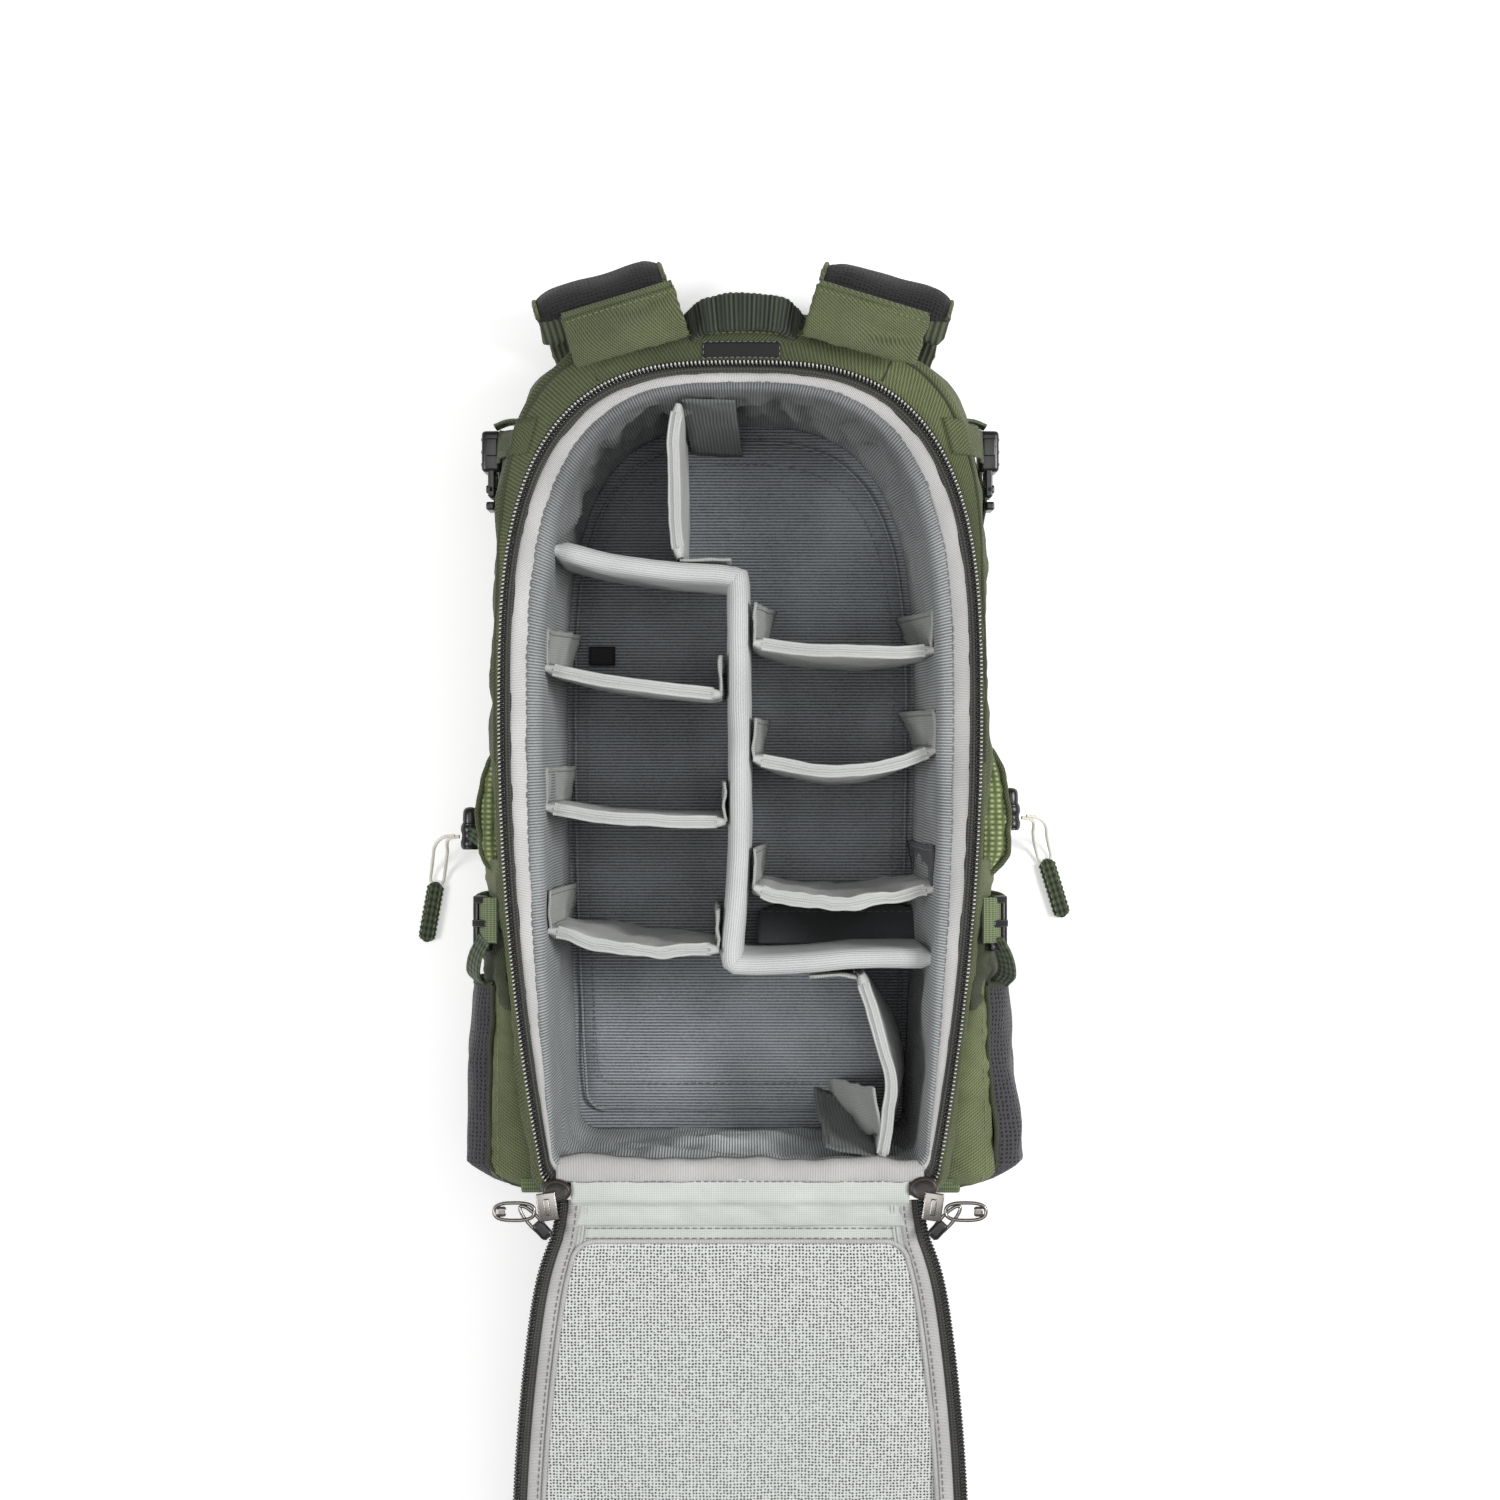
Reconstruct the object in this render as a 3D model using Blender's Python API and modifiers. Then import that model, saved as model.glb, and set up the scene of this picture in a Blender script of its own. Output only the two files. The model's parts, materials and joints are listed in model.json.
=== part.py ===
"""A rear-opening camera backpack, lying on its front with the back panel unzipped and folded down.

Metres. +Z is up, +Y points to the top of the bag and +X to its right side. The origin is on the
flat underside of the stash pocket, on the centre line of the bag.
"""
import math

import bmesh
import bpy
from mathutils import Matrix, Vector

# Driving dimensions of the body, seen from above
WIDEST_Y = 0.020        # where the bag is widest
RIM_HALF = 0.131        # half width of the zipper line there
RIM_TOP = 0.211
RIM_BOTTOM = -0.238
SHELL_HALF = 0.134      # outer fabric
SHELL_TOP = 0.2265
SHELL_BOTTOM = -0.2445
OPENING_HALF = 0.1087   # inner faces of the padded walls
OPENING_TOP = 0.196
OPENING_BOTTOM = -0.228
OUTER_TAPER = 0.37      # how fast the sides draw in towards the bottom
INNER_TAPER = 0.13
RIM_POWER = 3.0         # the tops are superellipses: the rim's and the opening's,
SHELL_POWER = 4.2       # and the fuller one of the outer fabric
CORNER = 0.012
ARCH_STEPS = 12
SIDE_STEPS = 8
CORNER_STEPS = 3
HALF_COUNT = ARCH_STEPS + SIDE_STEPS + CORNER_STEPS + 1
FIRST_CORNER = ARCH_STEPS + SIDE_STEPS
RING_COUNT = 2 * HALF_COUNT

# Heights
GAP = 0.0003
POCKET_TOP = 0.0217     # front pocket, under the front panel
STASH_TOP = 0.0135
PANEL_LOW = 0.022
PANEL_HIGH = 0.0245
FLOOR_TOP = 0.030
WALL_TOP = 0.1497
RIM_LOW = 0.150
RIM_HIGH = 0.1525
TEETH_TOP = 0.1535
DIVIDER_TOP = 0.140
SHELL_WALL = 0.002

# Back panel, which turns about the bottom edge of the rim
HINGE = Vector((0.0, -0.2435, 0.153))
OPEN_ANGLE = math.radians(196.5)
PANEL_INNER = 0.1538    # inner face of the closed panel
PANEL_CORE = 0.1552
PANEL_CORE_TOP = 0.1575
PANEL_PAD_TOP = 0.180
PANEL_START = 0.016     # the stiff panel starts this far from the hinge line
PANEL_ZIP_START = 0.0195

# Zipper sliders
SLIDER_REST = Vector((0.1045, -0.2475, 0.158))
SLIDER_TRACK = Vector((0.0212, 0.1475, 0.0))
SLIDER_SIZE = (0.011, 0.016, 0.0045)
PULL_LENGTH = 0.024
PULL_WIDTH = 0.009
PULL_WIRE = 0.0009
PULL_HINGE = SLIDER_SIZE[0] / 2 + PULL_WIRE + 0.0004

# Dividers: thickness, the reach of the hook tabs and their thickness
THICK_DIVIDER = 0.0115
THIN_DIVIDER = 0.0066
TAB_REACH = 0.022
TAB_THICKNESS = 0.0015
DIVIDER_LOW = FLOOR_TOP + 0.0006

# Shoulder straps
STRAP_WIDTH = 0.070
STRAP_THICKNESS = 0.0115
STRAP_SPLAY = math.radians(17.0)
STRAP_ROOT = Vector((0.0600, 0.2145, 0.1590))

# Cords
CORD_RADIUS = 0.0010
CORD_SPREAD = 0.004     # half the distance between the two strands of a loop


def clear_scene():
    for item in list(bpy.data.objects):
        bpy.data.objects.remove(item, do_unlink=True)


def collection(name):
    group = bpy.data.collections.new(name)
    bpy.context.scene.collection.children.link(group)
    return group


def material(name, colour, roughness, metallic=0.0):
    surface = bpy.data.materials.new(name)
    surface.use_nodes = True
    shader = surface.node_tree.nodes["Principled BSDF"]
    shader.inputs["Base Color"].default_value = (*colour, 1.0)
    shader.inputs["Roughness"].default_value = roughness
    shader.inputs["Metallic"].default_value = metallic
    surface.diffuse_color = (*colour, 1.0)
    return surface


clear_scene()
PARTS = collection("camera_backpack")
CUTTERS = collection("cutters")

OLIVE = material("olive_fabric", (0.095, 0.120, 0.045), 0.75)
LIGHT_OLIVE = material("light_olive_webbing", (0.170, 0.225, 0.095), 0.8)
GREY_LINING = material("grey_lining", (0.300, 0.315, 0.330), 0.9)
SLATE_LINING = material("slate_lining", (0.060, 0.070, 0.080), 0.9)
PALE_FABRIC = material("pale_divider_fabric", (0.580, 0.590, 0.570), 0.85)
FELT = material("felt_divider", (0.440, 0.460, 0.480), 0.95)
BINDING = material("grey_binding", (0.540, 0.550, 0.550), 0.85)
DARK_TAPE = material("dark_tape", (0.060, 0.060, 0.055), 0.7)
TEETH = material("zip_teeth", (0.050, 0.050, 0.048), 0.35)
AIR_MESH = material("charcoal_mesh", (0.042, 0.040, 0.046), 0.85)
BLACK_PLASTIC = material("black_plastic", (0.025, 0.025, 0.027), 0.4)
NICKEL = material("nickel", (0.560, 0.500, 0.460), 0.3, 1.0)
CORD = material("cream_cord", (0.760, 0.740, 0.660), 0.8)


# ---------------------------------------------------------------- building blocks

def new_object(name, mesh, surface, parent=None):
    item = bpy.data.objects.new(name, mesh)
    item.data.materials.clear()
    item.data.materials.append(surface)
    PARTS.objects.link(item)
    item.parent = parent
    return item


def finish_mesh(name, bm, surface, parent=None, smooth=None):
    bmesh.ops.recalc_face_normals(bm, faces=bm.faces[:])
    mesh = bpy.data.meshes.new(name)
    bm.to_mesh(mesh)
    bm.free()
    if smooth is not None:
        mesh.shade_smooth()
        mesh.set_sharp_from_angle(angle=math.radians(smooth))
    return new_object(name, mesh, surface, parent)


def extrude_up(bm, faces, shift):
    result = bmesh.ops.extrude_face_region(bm, geom=faces)
    moved = [part for part in result["geom"] if isinstance(part, bmesh.types.BMVert)]
    bmesh.ops.translate(bm, verts=moved, vec=shift)


def half_outline(half, top, bottom, taper, power):
    """Right half of a bag outline, from the top centre to the bottom centre."""
    points = []
    for step in range(ARCH_STEPS + 1):
        angle = math.pi / 2 * step / ARCH_STEPS
        across = half * math.sin(angle) ** (2 / power)
        along = (top - WIDEST_Y) * abs(math.cos(angle)) ** (2 / power)
        points.append((across, WIDEST_Y + along))
    corner_y = bottom + CORNER
    for step in range(1, SIDE_STEPS + 1):
        y = WIDEST_Y + (corner_y - WIDEST_Y) * step / SIDE_STEPS
        points.append((half - taper * (y - WIDEST_Y) ** 2, y))
    corner_x = points[-1][0]
    for step in range(1, CORNER_STEPS + 1):
        angle = math.pi / 2 * step / CORNER_STEPS
        points.append((corner_x - CORNER * (1 - math.cos(angle)), corner_y - CORNER * math.sin(angle)))
    points.append((0.0, bottom))
    return points


def outline(half, top, bottom, taper, power=RIM_POWER):
    """Closed bag outline: down the right side, then up the left."""
    right = half_outline(half, top, bottom, taper, power)
    left = [(-x, y) for x, y in reversed(right[1:-1])]
    return right + left


def rim(offset):
    return outline(RIM_HALF + offset, RIM_TOP + offset, RIM_BOTTOM - offset, OUTER_TAPER)


def shell(offset):
    return outline(SHELL_HALF + offset, SHELL_TOP + offset, SHELL_BOTTOM - offset, OUTER_TAPER, SHELL_POWER)


def opening(offset):
    return outline(OPENING_HALF + offset, OPENING_TOP + offset, OPENING_BOTTOM - offset, INNER_TAPER)


def side_width(half, taper, y):
    return half - taper * (y - WIDEST_Y) ** 2


def stretch(ring, first, last):
    """The points of a closed outline between two places on it, counted in points."""
    places = [first]
    places += list(range(math.floor(first) + 1, math.ceil(last)))
    places.append(last)
    points = []
    for place in places:
        low = math.floor(place)
        share = place - low
        start = Vector(ring[low % len(ring)])
        end = Vector(ring[(low + 1) % len(ring)])
        points.append(start.lerp(end, share))
    return points


def plate(name, points, low, high, surface, parent=None, bevel=0.0):
    """A flat outline with a thickness."""
    bm = bmesh.new()
    corners = [bm.verts.new((x, y, low)) for x, y in points]
    face = bm.faces.new(corners)
    extrude_up(bm, [face], (0, 0, high - low))
    item = finish_mesh(name, bm, surface, parent)
    if bevel:
        add_bevel(item, bevel)
    return item


def ring_band(name, outer, inner, low, high, surface, parent=None):
    """A flat closed band between two outlines."""
    bm = bmesh.new()
    outside = [bm.verts.new((x, y, low)) for x, y in outer]
    inside = [bm.verts.new((x, y, low)) for x, y in inner]
    count = len(outside)
    faces = []
    for i in range(count):
        j = (i + 1) % count
        faces.append(bm.faces.new((outside[i], outside[j], inside[j], inside[i])))
    extrude_up(bm, faces, (0, 0, high - low))
    return finish_mesh(name, bm, surface, parent)


def part_band(name, outer, inner, first, last, low, high, surface, parent=None):
    """A stretch of a band between two outlines."""
    bm = bmesh.new()
    outside = [bm.verts.new((*p, low)) for p in stretch(outer, first, last)]
    inside = [bm.verts.new((*p, low)) for p in stretch(inner, first, last)]
    faces = []
    for i in range(len(outside) - 1):
        faces.append(bm.faces.new((outside[i], outside[i + 1], inside[i + 1], inside[i])))
    extrude_up(bm, faces, (0, 0, high - low))
    return finish_mesh(name, bm, surface, parent)


def add_bevel(item, width, segments=2):
    bevel = item.modifiers.new("bevel", "BEVEL")
    bevel.width = width
    bevel.segments = segments
    bevel.limit_method = "ANGLE"
    bevel.angle_limit = math.radians(50)


def add_solidify(item, thickness, offset=0.0):
    solid = item.modifiers.new("thickness", "SOLIDIFY")
    solid.thickness = thickness
    solid.offset = offset
    solid.use_even_offset = True


def box(name, size, surface, parent=None, bevel=0.0):
    bm = bmesh.new()
    bmesh.ops.create_cube(bm, size=1.0)
    bmesh.ops.scale(bm, verts=bm.verts[:], vec=size)
    item = finish_mesh(name, bm, surface, parent)
    if bevel:
        add_bevel(item, bevel)
    return item


def cutter(item, target, operation="DIFFERENCE"):
    """Take the shape of item out of target, or join it on."""
    PARTS.objects.unlink(item)
    CUTTERS.objects.link(item)
    item.hide_render = True
    item.display_type = "WIRE"
    cut = target.modifiers.new(item.name, "BOOLEAN")
    cut.object = item
    cut.operation = operation
    cut.solver = "EXACT"


def tube(name, points, radius, surface, parent=None, cyclic=False, sides=2):
    """A wire or cord along hand-placed points."""
    curve = bpy.data.curves.new(name, "CURVE")
    curve.dimensions = "3D"
    spline = curve.splines.new("POLY")
    spline.points.add(len(points) - 1)
    for place, point in zip(spline.points, points):
        place.co = (*point, 1.0)
    spline.use_cyclic_u = cyclic
    curve.bevel_depth = radius
    curve.bevel_resolution = sides
    curve.use_fill_caps = not cyclic
    return new_object(name, curve, surface, parent)


def ribbon(name, stations, surface, parent=None):
    """A padded or woven strap: (centre, direction of its width, width, thickness) at each station."""
    bm = bmesh.new()
    rings = []
    for i, (centre, across, width, thickness) in enumerate(stations):
        before = stations[max(i - 1, 0)][0]
        after = stations[min(i + 1, len(stations) - 1)][0]
        tangent = (Vector(after) - Vector(before)).normalized()
        across = Vector(across)
        across = (across - tangent * across.dot(tangent)).normalized()
        normal = tangent.cross(across)
        edge = min(thickness * 0.35, width * 0.2)
        half_w = width / 2
        half_t = thickness / 2
        section = [
            (half_w, half_t - edge), (half_w - edge, half_t), (-half_w + edge, half_t),
            (-half_w, half_t - edge), (-half_w, -half_t + edge), (-half_w + edge, -half_t),
            (half_w - edge, -half_t), (half_w, -half_t + edge),
        ]
        rings.append([bm.verts.new(Vector(centre) + across * a + normal * n) for a, n in section])
    count = len(rings[0])
    for first, second in zip(rings, rings[1:]):
        for i in range(count):
            j = (i + 1) % count
            bm.faces.new((first[i], first[j], second[j], second[i]))
    bm.faces.new(rings[0])
    bm.faces.new(list(reversed(rings[-1])))
    return finish_mesh(name, bm, surface, parent, smooth=40)


def smooth_path(points, steps):
    """Catmull-Rom curve through the points, with so many steps between each two."""
    knots = [Vector(p) for p in points]
    knots = [knots[0] * 2 - knots[1]] + knots + [knots[-1] * 2 - knots[-2]]
    path = []
    for a, b, c, d in zip(knots, knots[1:], knots[2:], knots[3:]):
        for step in range(steps):
            t = step / steps
            linear = (c - a) * t
            square = (2 * a - 5 * b + 4 * c - d) * t ** 2
            cubic = (3 * b - a - 3 * c + d) * t ** 3
            path.append((2 * b + linear + square + cubic) / 2)
    path.append(knots[-2])
    return path


# ---------------------------------------------------------------- body

def build_body():
    plate("front_panel", shell(-0.003), PANEL_LOW, PANEL_HIGH, OLIVE)

    levels = [PANEL_HIGH + GAP, 0.034, 0.090, WALL_TOP]
    offsets = [-0.0025, 0.0, 0.0, 0.0]
    bm = bmesh.new()
    rings = []
    for z, offset in zip(levels, offsets):
        rings.append([bm.verts.new((x, y, z)) for x, y in shell(offset - SHELL_WALL / 2)])
    for first, second in zip(rings, rings[1:]):
        for i in range(RING_COUNT):
            j = (i + 1) % RING_COUNT
            bm.faces.new((first[i], first[j], second[j], second[i]))
    wall = finish_mesh("side_wall_shell", bm, OLIVE)
    add_solidify(wall, SHELL_WALL)

    yoke_reach = ARCH_STEPS - 3.5
    part_band("top_yoke", shell(-0.0005), rim(0.0024), -yoke_reach, yoke_reach,
              RIM_LOW, RIM_HIGH, OLIVE)


def build_padding():
    outside = shell(-SHELL_WALL - 0.0030)
    inside = opening(0.0)
    seam = 0.03
    arch = 6
    low = FLOOR_TOP + GAP
    part_band("foam_top", outside, inside, -arch + seam, arch - seam, low, WALL_TOP, GREY_LINING)
    part_band("foam_right", outside, inside, arch, FIRST_CORNER + 1, low, WALL_TOP, GREY_LINING)
    part_band("foam_left", outside, inside, RING_COUNT - FIRST_CORNER - 1, RING_COUNT - arch,
              low, WALL_TOP, GREY_LINING)
    part_band("foam_bottom", outside, inside, FIRST_CORNER + 1 + 2 * seam,
              RING_COUNT - FIRST_CORNER - 1 - 2 * seam, low, WALL_TOP, GREY_LINING)
    plate("foam_floor", shell(-SHELL_WALL - 0.0030), PANEL_HIGH + GAP, FLOOR_TOP, SLATE_LINING)


def build_rim():
    ring_band("rim_binding", rim(-0.0050), opening(0.0), RIM_LOW, RIM_HIGH, BINDING)
    first = RING_COUNT - FIRST_CORNER - 2
    last = RING_COUNT + FIRST_CORNER + 2
    part_band("body_zip_tape", rim(-0.0022), rim(-0.0047), first, last, RIM_LOW, 0.1512, DARK_TAPE)
    part_band("body_zip_teeth", rim(0.0019), rim(-0.0019), first, last, RIM_LOW, TEETH_TOP, TEETH)


def build_front_pockets():
    plate("front_pocket", outline(0.112, 0.165, -0.205, 0.25), STASH_TOP + GAP, POCKET_TOP, OLIVE)
    half = 0.032
    points = [(half, 0.150), (half, -0.190), (-half, -0.190), (-half, 0.150)]
    plate("stash_pocket", points, 0.0, STASH_TOP, OLIVE, bevel=0.004)


# ---------------------------------------------------------------- dividers

def wall_outline(centres, thickness):
    """Outline of a wall of even thickness along a bent line."""
    line = [Vector(p) for p in centres]
    left = []
    right = []
    for i, point in enumerate(line):
        back = (point - line[i - 1]).normalized() if i else None
        ahead = (line[i + 1] - point).normalized() if i < len(line) - 1 else None
        back = back or ahead
        ahead = ahead or back
        mitre = (back + ahead).normalized()
        side = Vector((-mitre.y, mitre.x))
        reach = thickness / 2 / max(side.dot(Vector((-back.y, back.x))), 0.5)
        left.append(point + side * reach)
        right.append(point - side * reach)
    return left + list(reversed(right))


def tabbed_outline(bow, start_tab, end_tab, tab_side=1.0):
    """A thin divider from its centre line (u, v), with hook tabs that turn off along v at its ends."""
    half = THIN_DIVIDER / 2
    near = [(u, v - half * tab_side) for u, v in bow]
    far = [(u, v + half * tab_side) for u, v in bow]
    first_u, first_v = bow[0]
    last_u, last_v = bow[-1]
    reach = (half + TAB_REACH) * tab_side
    points = list(near)
    if end_tab:
        points.append((last_u, last_v + reach))
        points.append((last_u - TAB_THICKNESS, last_v + reach))
        far[-1] = (last_u - TAB_THICKNESS, last_v + half * tab_side)
    points += list(reversed(far[1:]))
    if start_tab:
        points.append((first_u + TAB_THICKNESS, first_v + half * tab_side))
        points.append((first_u + TAB_THICKNESS, first_v + reach))
        points.append((first_u, first_v + reach))
    else:
        points.append(far[0])
    return points


def build_dividers():
    spine = [
        (-0.1018, 0.1100), (-0.0725, 0.1031), (-0.0363, 0.0981), (-0.0040, 0.0955),
        (-0.0006, 0.0274), (0.0000, -0.0219), (-0.0012, -0.0713), (-0.0048, -0.1190),
        (0.0290, -0.1179), (0.0635, -0.1151), (0.1050, -0.1146),
    ]
    plate("divider_main", wall_outline(spine, THICK_DIVIDER), DIVIDER_LOW, DIVIDER_TOP, FELT)

    left_wall = -0.1073
    spine_left = -0.0078
    spine_right = 0.0072
    right_wall = 0.1073
    left_rows = {
        "divider_left_1": [(left_wall, 0.0450), (-0.0768, 0.0384), (-0.0439, 0.0340), (spine_left - 0.0020, 0.0302)],
        "divider_left_2": [(left_wall + 0.0002, -0.0313), (-0.0768, -0.0367), (-0.0439, -0.0389),
                           (spine_left, -0.0395)],
        "divider_left_3": [(left_wall + 0.0019, -0.0992), (-0.0768, -0.1064), (-0.0494, -0.1107),
                           (-0.0115, -0.1096)],
    }
    right_rows = {
        "divider_right_1": [(spine_right, 0.0590), (0.0273, 0.0559), (0.0547, 0.0543), (0.0876, 0.0537),
                            (right_wall - 0.0010, 0.0548)],
        "divider_right_2": [(spine_right, -0.0045), (0.0273, -0.0088), (0.0547, -0.0115), (0.0822, -0.0082),
                            (right_wall, 0.0000)],
        "divider_right_3": [(spine_right, -0.0760), (0.0290, -0.0817), (0.0547, -0.0844), (0.0805, -0.0817),
                            (right_wall - 0.0009, -0.0746)],
    }
    for name, bow in {**left_rows, **right_rows}.items():
        plate(name, tabbed_outline(bow, True, True), DIVIDER_LOW, DIVIDER_TOP, PALE_FABRIC)

    # The two dividers that stand along Y are the same shape with u and v exchanged.
    top_bow = [(0.1056, -0.0330), (0.1206, -0.0352), (0.1442, -0.0363), (0.1754, -0.0363), (0.1900, -0.0335)]
    top = tabbed_outline(top_bow, True, True)
    plate("divider_top", [(v, u) for u, v in top], DIVIDER_LOW, DIVIDER_TOP, PALE_FABRIC)
    bottom_bow = [(-0.2265, 0.0772), (-0.1974, 0.0816), (-0.1798, 0.0822), (-0.1535, 0.0756), (-0.1234, 0.0663)]
    bottom = tabbed_outline(bottom_bow, True, True, -1.0)
    plate("divider_bottom", [(v, u) for u, v in bottom], DIVIDER_LOW, DIVIDER_TOP, PALE_FABRIC)


# ---------------------------------------------------------------- back panel and zipper

def build_panel():
    """The panel is built closed, flat on the rim, and its parent turns it open."""
    hinge = bpy.data.objects.new("panel_hinge", None)
    PARTS.objects.link(hinge)
    hinge.location = HINGE
    hinge.rotation_euler = (OPEN_ANGLE, 0.0, 0.0)

    def closed_outline(offset, bottom):
        points = outline(RIM_HALF + offset, RIM_TOP + offset, HINGE.y + bottom, OUTER_TAPER)
        return [(x, y - HINGE.y) for x, y in points]

    def rise(z):
        return z - HINGE.z

    plate("panel_core", closed_outline(-0.0062, PANEL_START), rise(PANEL_CORE), rise(PANEL_CORE_TOP),
          OLIVE, hinge)
    plate("panel_pad", closed_outline(-0.0130, PANEL_START + 0.0020), rise(PANEL_CORE_TOP + GAP),
          rise(PANEL_PAD_TOP), AIR_MESH, hinge, bevel=0.006)
    first = RING_COUNT - FIRST_CORNER
    last = RING_COUNT + FIRST_CORNER
    zip_bottom = PANEL_ZIP_START - CORNER
    part_band("panel_zip_tape", closed_outline(-0.0022, zip_bottom), closed_outline(-0.0100, zip_bottom),
              first, last, rise(PANEL_INNER), rise(PANEL_CORE - GAP), DARK_TAPE, hinge)
    part_band("panel_zip_teeth", closed_outline(-0.0022, zip_bottom), closed_outline(-0.0059, zip_bottom),
              first, last, rise(PANEL_CORE), rise(PANEL_CORE) + 0.0010, TEETH, hinge)
    pocket = outline(0.1120, 0.1500, HINGE.y + 0.0620, OUTER_TAPER)
    plate("panel_mesh_pocket", [(x, y - HINGE.y) for x, y in pocket], rise(PANEL_INNER),
          rise(PANEL_CORE - GAP), AIR_MESH, hinge)


def build_slider(side, tag):
    """A zipper slider on its track, and a wire pull hinged on it."""
    seat = bpy.data.objects.new(f"slider_seat_{tag}", None)
    PARTS.objects.link(seat)
    seat.location = (side * SLIDER_REST.x, SLIDER_REST.y, SLIDER_REST.z)
    seat.rotation_euler = (0.0, 0.0, -side * math.atan2(SLIDER_TRACK.x, SLIDER_TRACK.y))
    slider = box(f"slider_{tag}", SLIDER_SIZE, NICKEL, seat, bevel=0.0012)
    slider.location = (0.0, 0.0, SLIDER_SIZE[2] / 2)

    half = PULL_WIDTH / 2 - PULL_WIRE
    end = PULL_LENGTH - 2 * PULL_WIRE
    loop = []
    for step in range(5):
        angle = math.pi / 2 - math.pi * step / 4
        loop.append((side * (end - half + half * math.cos(angle)), half * math.sin(angle), 0.0))
    for step in range(5):
        angle = -math.pi / 2 - math.pi * step / 4
        loop.append((side * (half * 0.6 + half * 0.6 * math.cos(angle)), half * math.sin(angle), 0.0))
    pull = tube(f"pull_{tag}", loop, PULL_WIRE, NICKEL, seat, cyclic=True)
    pull.location = (side * PULL_HINGE, 0.0, SLIDER_SIZE[2] - PULL_WIRE)


# ---------------------------------------------------------------- sides

def pocket_section(y):
    """Section of a side pocket at a height y of the bag: (x, z) from its back seam to its front seam."""
    wall = side_width(SHELL_HALF, OUTER_TAPER, max(y, SHELL_BOTTOM + CORNER)) + 0.0016
    share = (y - POCKET_MOUTH) / (POCKET_BASE - POCKET_MOUTH)
    reach = 0.1490 + 0.0110 * share
    seam = 0.1390 + 0.0075 * share
    return wall, seam, reach


POCKET_MOUTH = -0.1335
POCKET_BASE = -0.2450
POCKET_HIGH = 0.1310
POCKET_LOW = 0.0310
POCKET_WALL = 0.0016


def build_side_pocket(side, tag):
    steps = 4
    heights = [POCKET_MOUTH + (POCKET_BASE - POCKET_MOUTH) * i / steps for i in range(steps + 1)]

    bm = bmesh.new()
    rows = []
    for y in heights:
        wall, seam, reach = pocket_section(y)
        drop = POCKET_HIGH - 0.0040
        section = [(wall, POCKET_HIGH), ((wall + seam) / 2, POCKET_HIGH + 0.0010), (seam - 0.0009, drop)]
        rows.append([bm.verts.new((side * x, y, z)) for x, z in section])
    for first, second in zip(rows, rows[1:]):
        for i in range(len(first) - 1):
            bm.faces.new((first[i], first[i + 1], second[i + 1], second[i]))
    panel = finish_mesh(f"pocket_panel_{tag}", bm, OLIVE)
    add_solidify(panel, POCKET_WALL)

    bm = bmesh.new()
    rows = []
    for y in heights:
        wall, seam, reach = pocket_section(y)
        section = [
            (seam + 0.0012, POCKET_HIGH - 0.0050), (reach - 0.0030, POCKET_HIGH - 0.0140),
            (reach, 0.1000), (reach, 0.0700), (reach - 0.0050, 0.0480),
            ((wall + reach) / 2, POCKET_LOW + 0.0040), (wall + 0.0010, POCKET_LOW),
        ]
        rows.append([bm.verts.new((side * x, y, z)) for x, z in section])
    for first, second in zip(rows, rows[1:]):
        for i in range(len(first) - 1):
            bm.faces.new((first[i], first[i + 1], second[i + 1], second[i]))
    wall, seam, reach = pocket_section(POCKET_BASE)
    last = rows[-1]
    hem = bm.verts.new((side * (wall + 0.0010), POCKET_BASE, POCKET_HIGH - 0.0060))
    bm.faces.new(last + [hem])
    mesh = finish_mesh(f"pocket_mesh_{tag}", bm, AIR_MESH)
    add_solidify(mesh, POCKET_WALL)


BUCKLE = Vector((0.1382, 0.1540, 0.1050))   # where socket and tongue meet


def build_buckle(side, tag):
    """A side-release buckle: the socket is fixed and the tongue draws out towards the bottom."""
    socket = box(f"buckle_socket_{tag}", (0.0110, 0.0230, 0.0260), BLACK_PLASTIC, bevel=0.0015)
    socket.location = (side * BUCKLE.x, BUCKLE.y + 0.0118, BUCKLE.z)
    hollow = box(f"buckle_hollow_{tag}", (0.0070, 0.0360, 0.0216), BLACK_PLASTIC)
    hollow.location = (side * BUCKLE.x, BUCKLE.y, BUCKLE.z)
    cutter(hollow, socket)

    fork = [
        (-0.0205, -0.0125), (-0.0005, -0.0125), (-0.0005, -0.0100), (0.0140, -0.0100),
        (0.0150, -0.0085), (0.0140, -0.0060), (-0.0005, -0.0060), (-0.0005, 0.0060),
        (0.0140, 0.0060), (0.0150, 0.0085), (0.0140, 0.0100), (-0.0005, 0.0100),
        (-0.0005, 0.0125), (-0.0205, 0.0125),
    ]
    tongue = plate(f"buckle_tongue_{tag}", fork, -0.0028, 0.0028, BLACK_PLASTIC)
    turn = Matrix(((0, 0, 1), (1, 0, 0), (0, 1, 0))).to_4x4()
    tongue.matrix_world = Matrix.Translation((side * BUCKLE.x, BUCKLE.y, BUCKLE.z)) @ turn

    route = [(0.1205, 0.1885), (0.1290, 0.1868), (0.1370, 0.1802)]
    upper = [((side * x, y, BUCKLE.z), (0, 0, 1), 0.0220, 0.0016) for x, y in route]
    ribbon(f"compression_webbing_{tag}", upper, LIGHT_OLIVE)


def build_lower_webbing(side, tag):
    y = -0.0930
    wall = side_width(SHELL_HALF, OUTER_TAPER, y)
    path = [
        (wall + 0.0020, y, 0.1480), (wall + 0.0090, y, 0.1440), (0.1450, y, 0.1300), (0.1470, y, 0.1050),
        (0.1460, y, 0.0700), (0.1400, y, 0.0440), (wall + 0.0022, y, 0.0300),
    ]
    stations = [((side * x, v, z), (0, 1, 0), 0.0250, 0.0018) for x, v, z in path]
    ribbon(f"lower_webbing_{tag}", stations, LIGHT_OLIVE)


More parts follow.
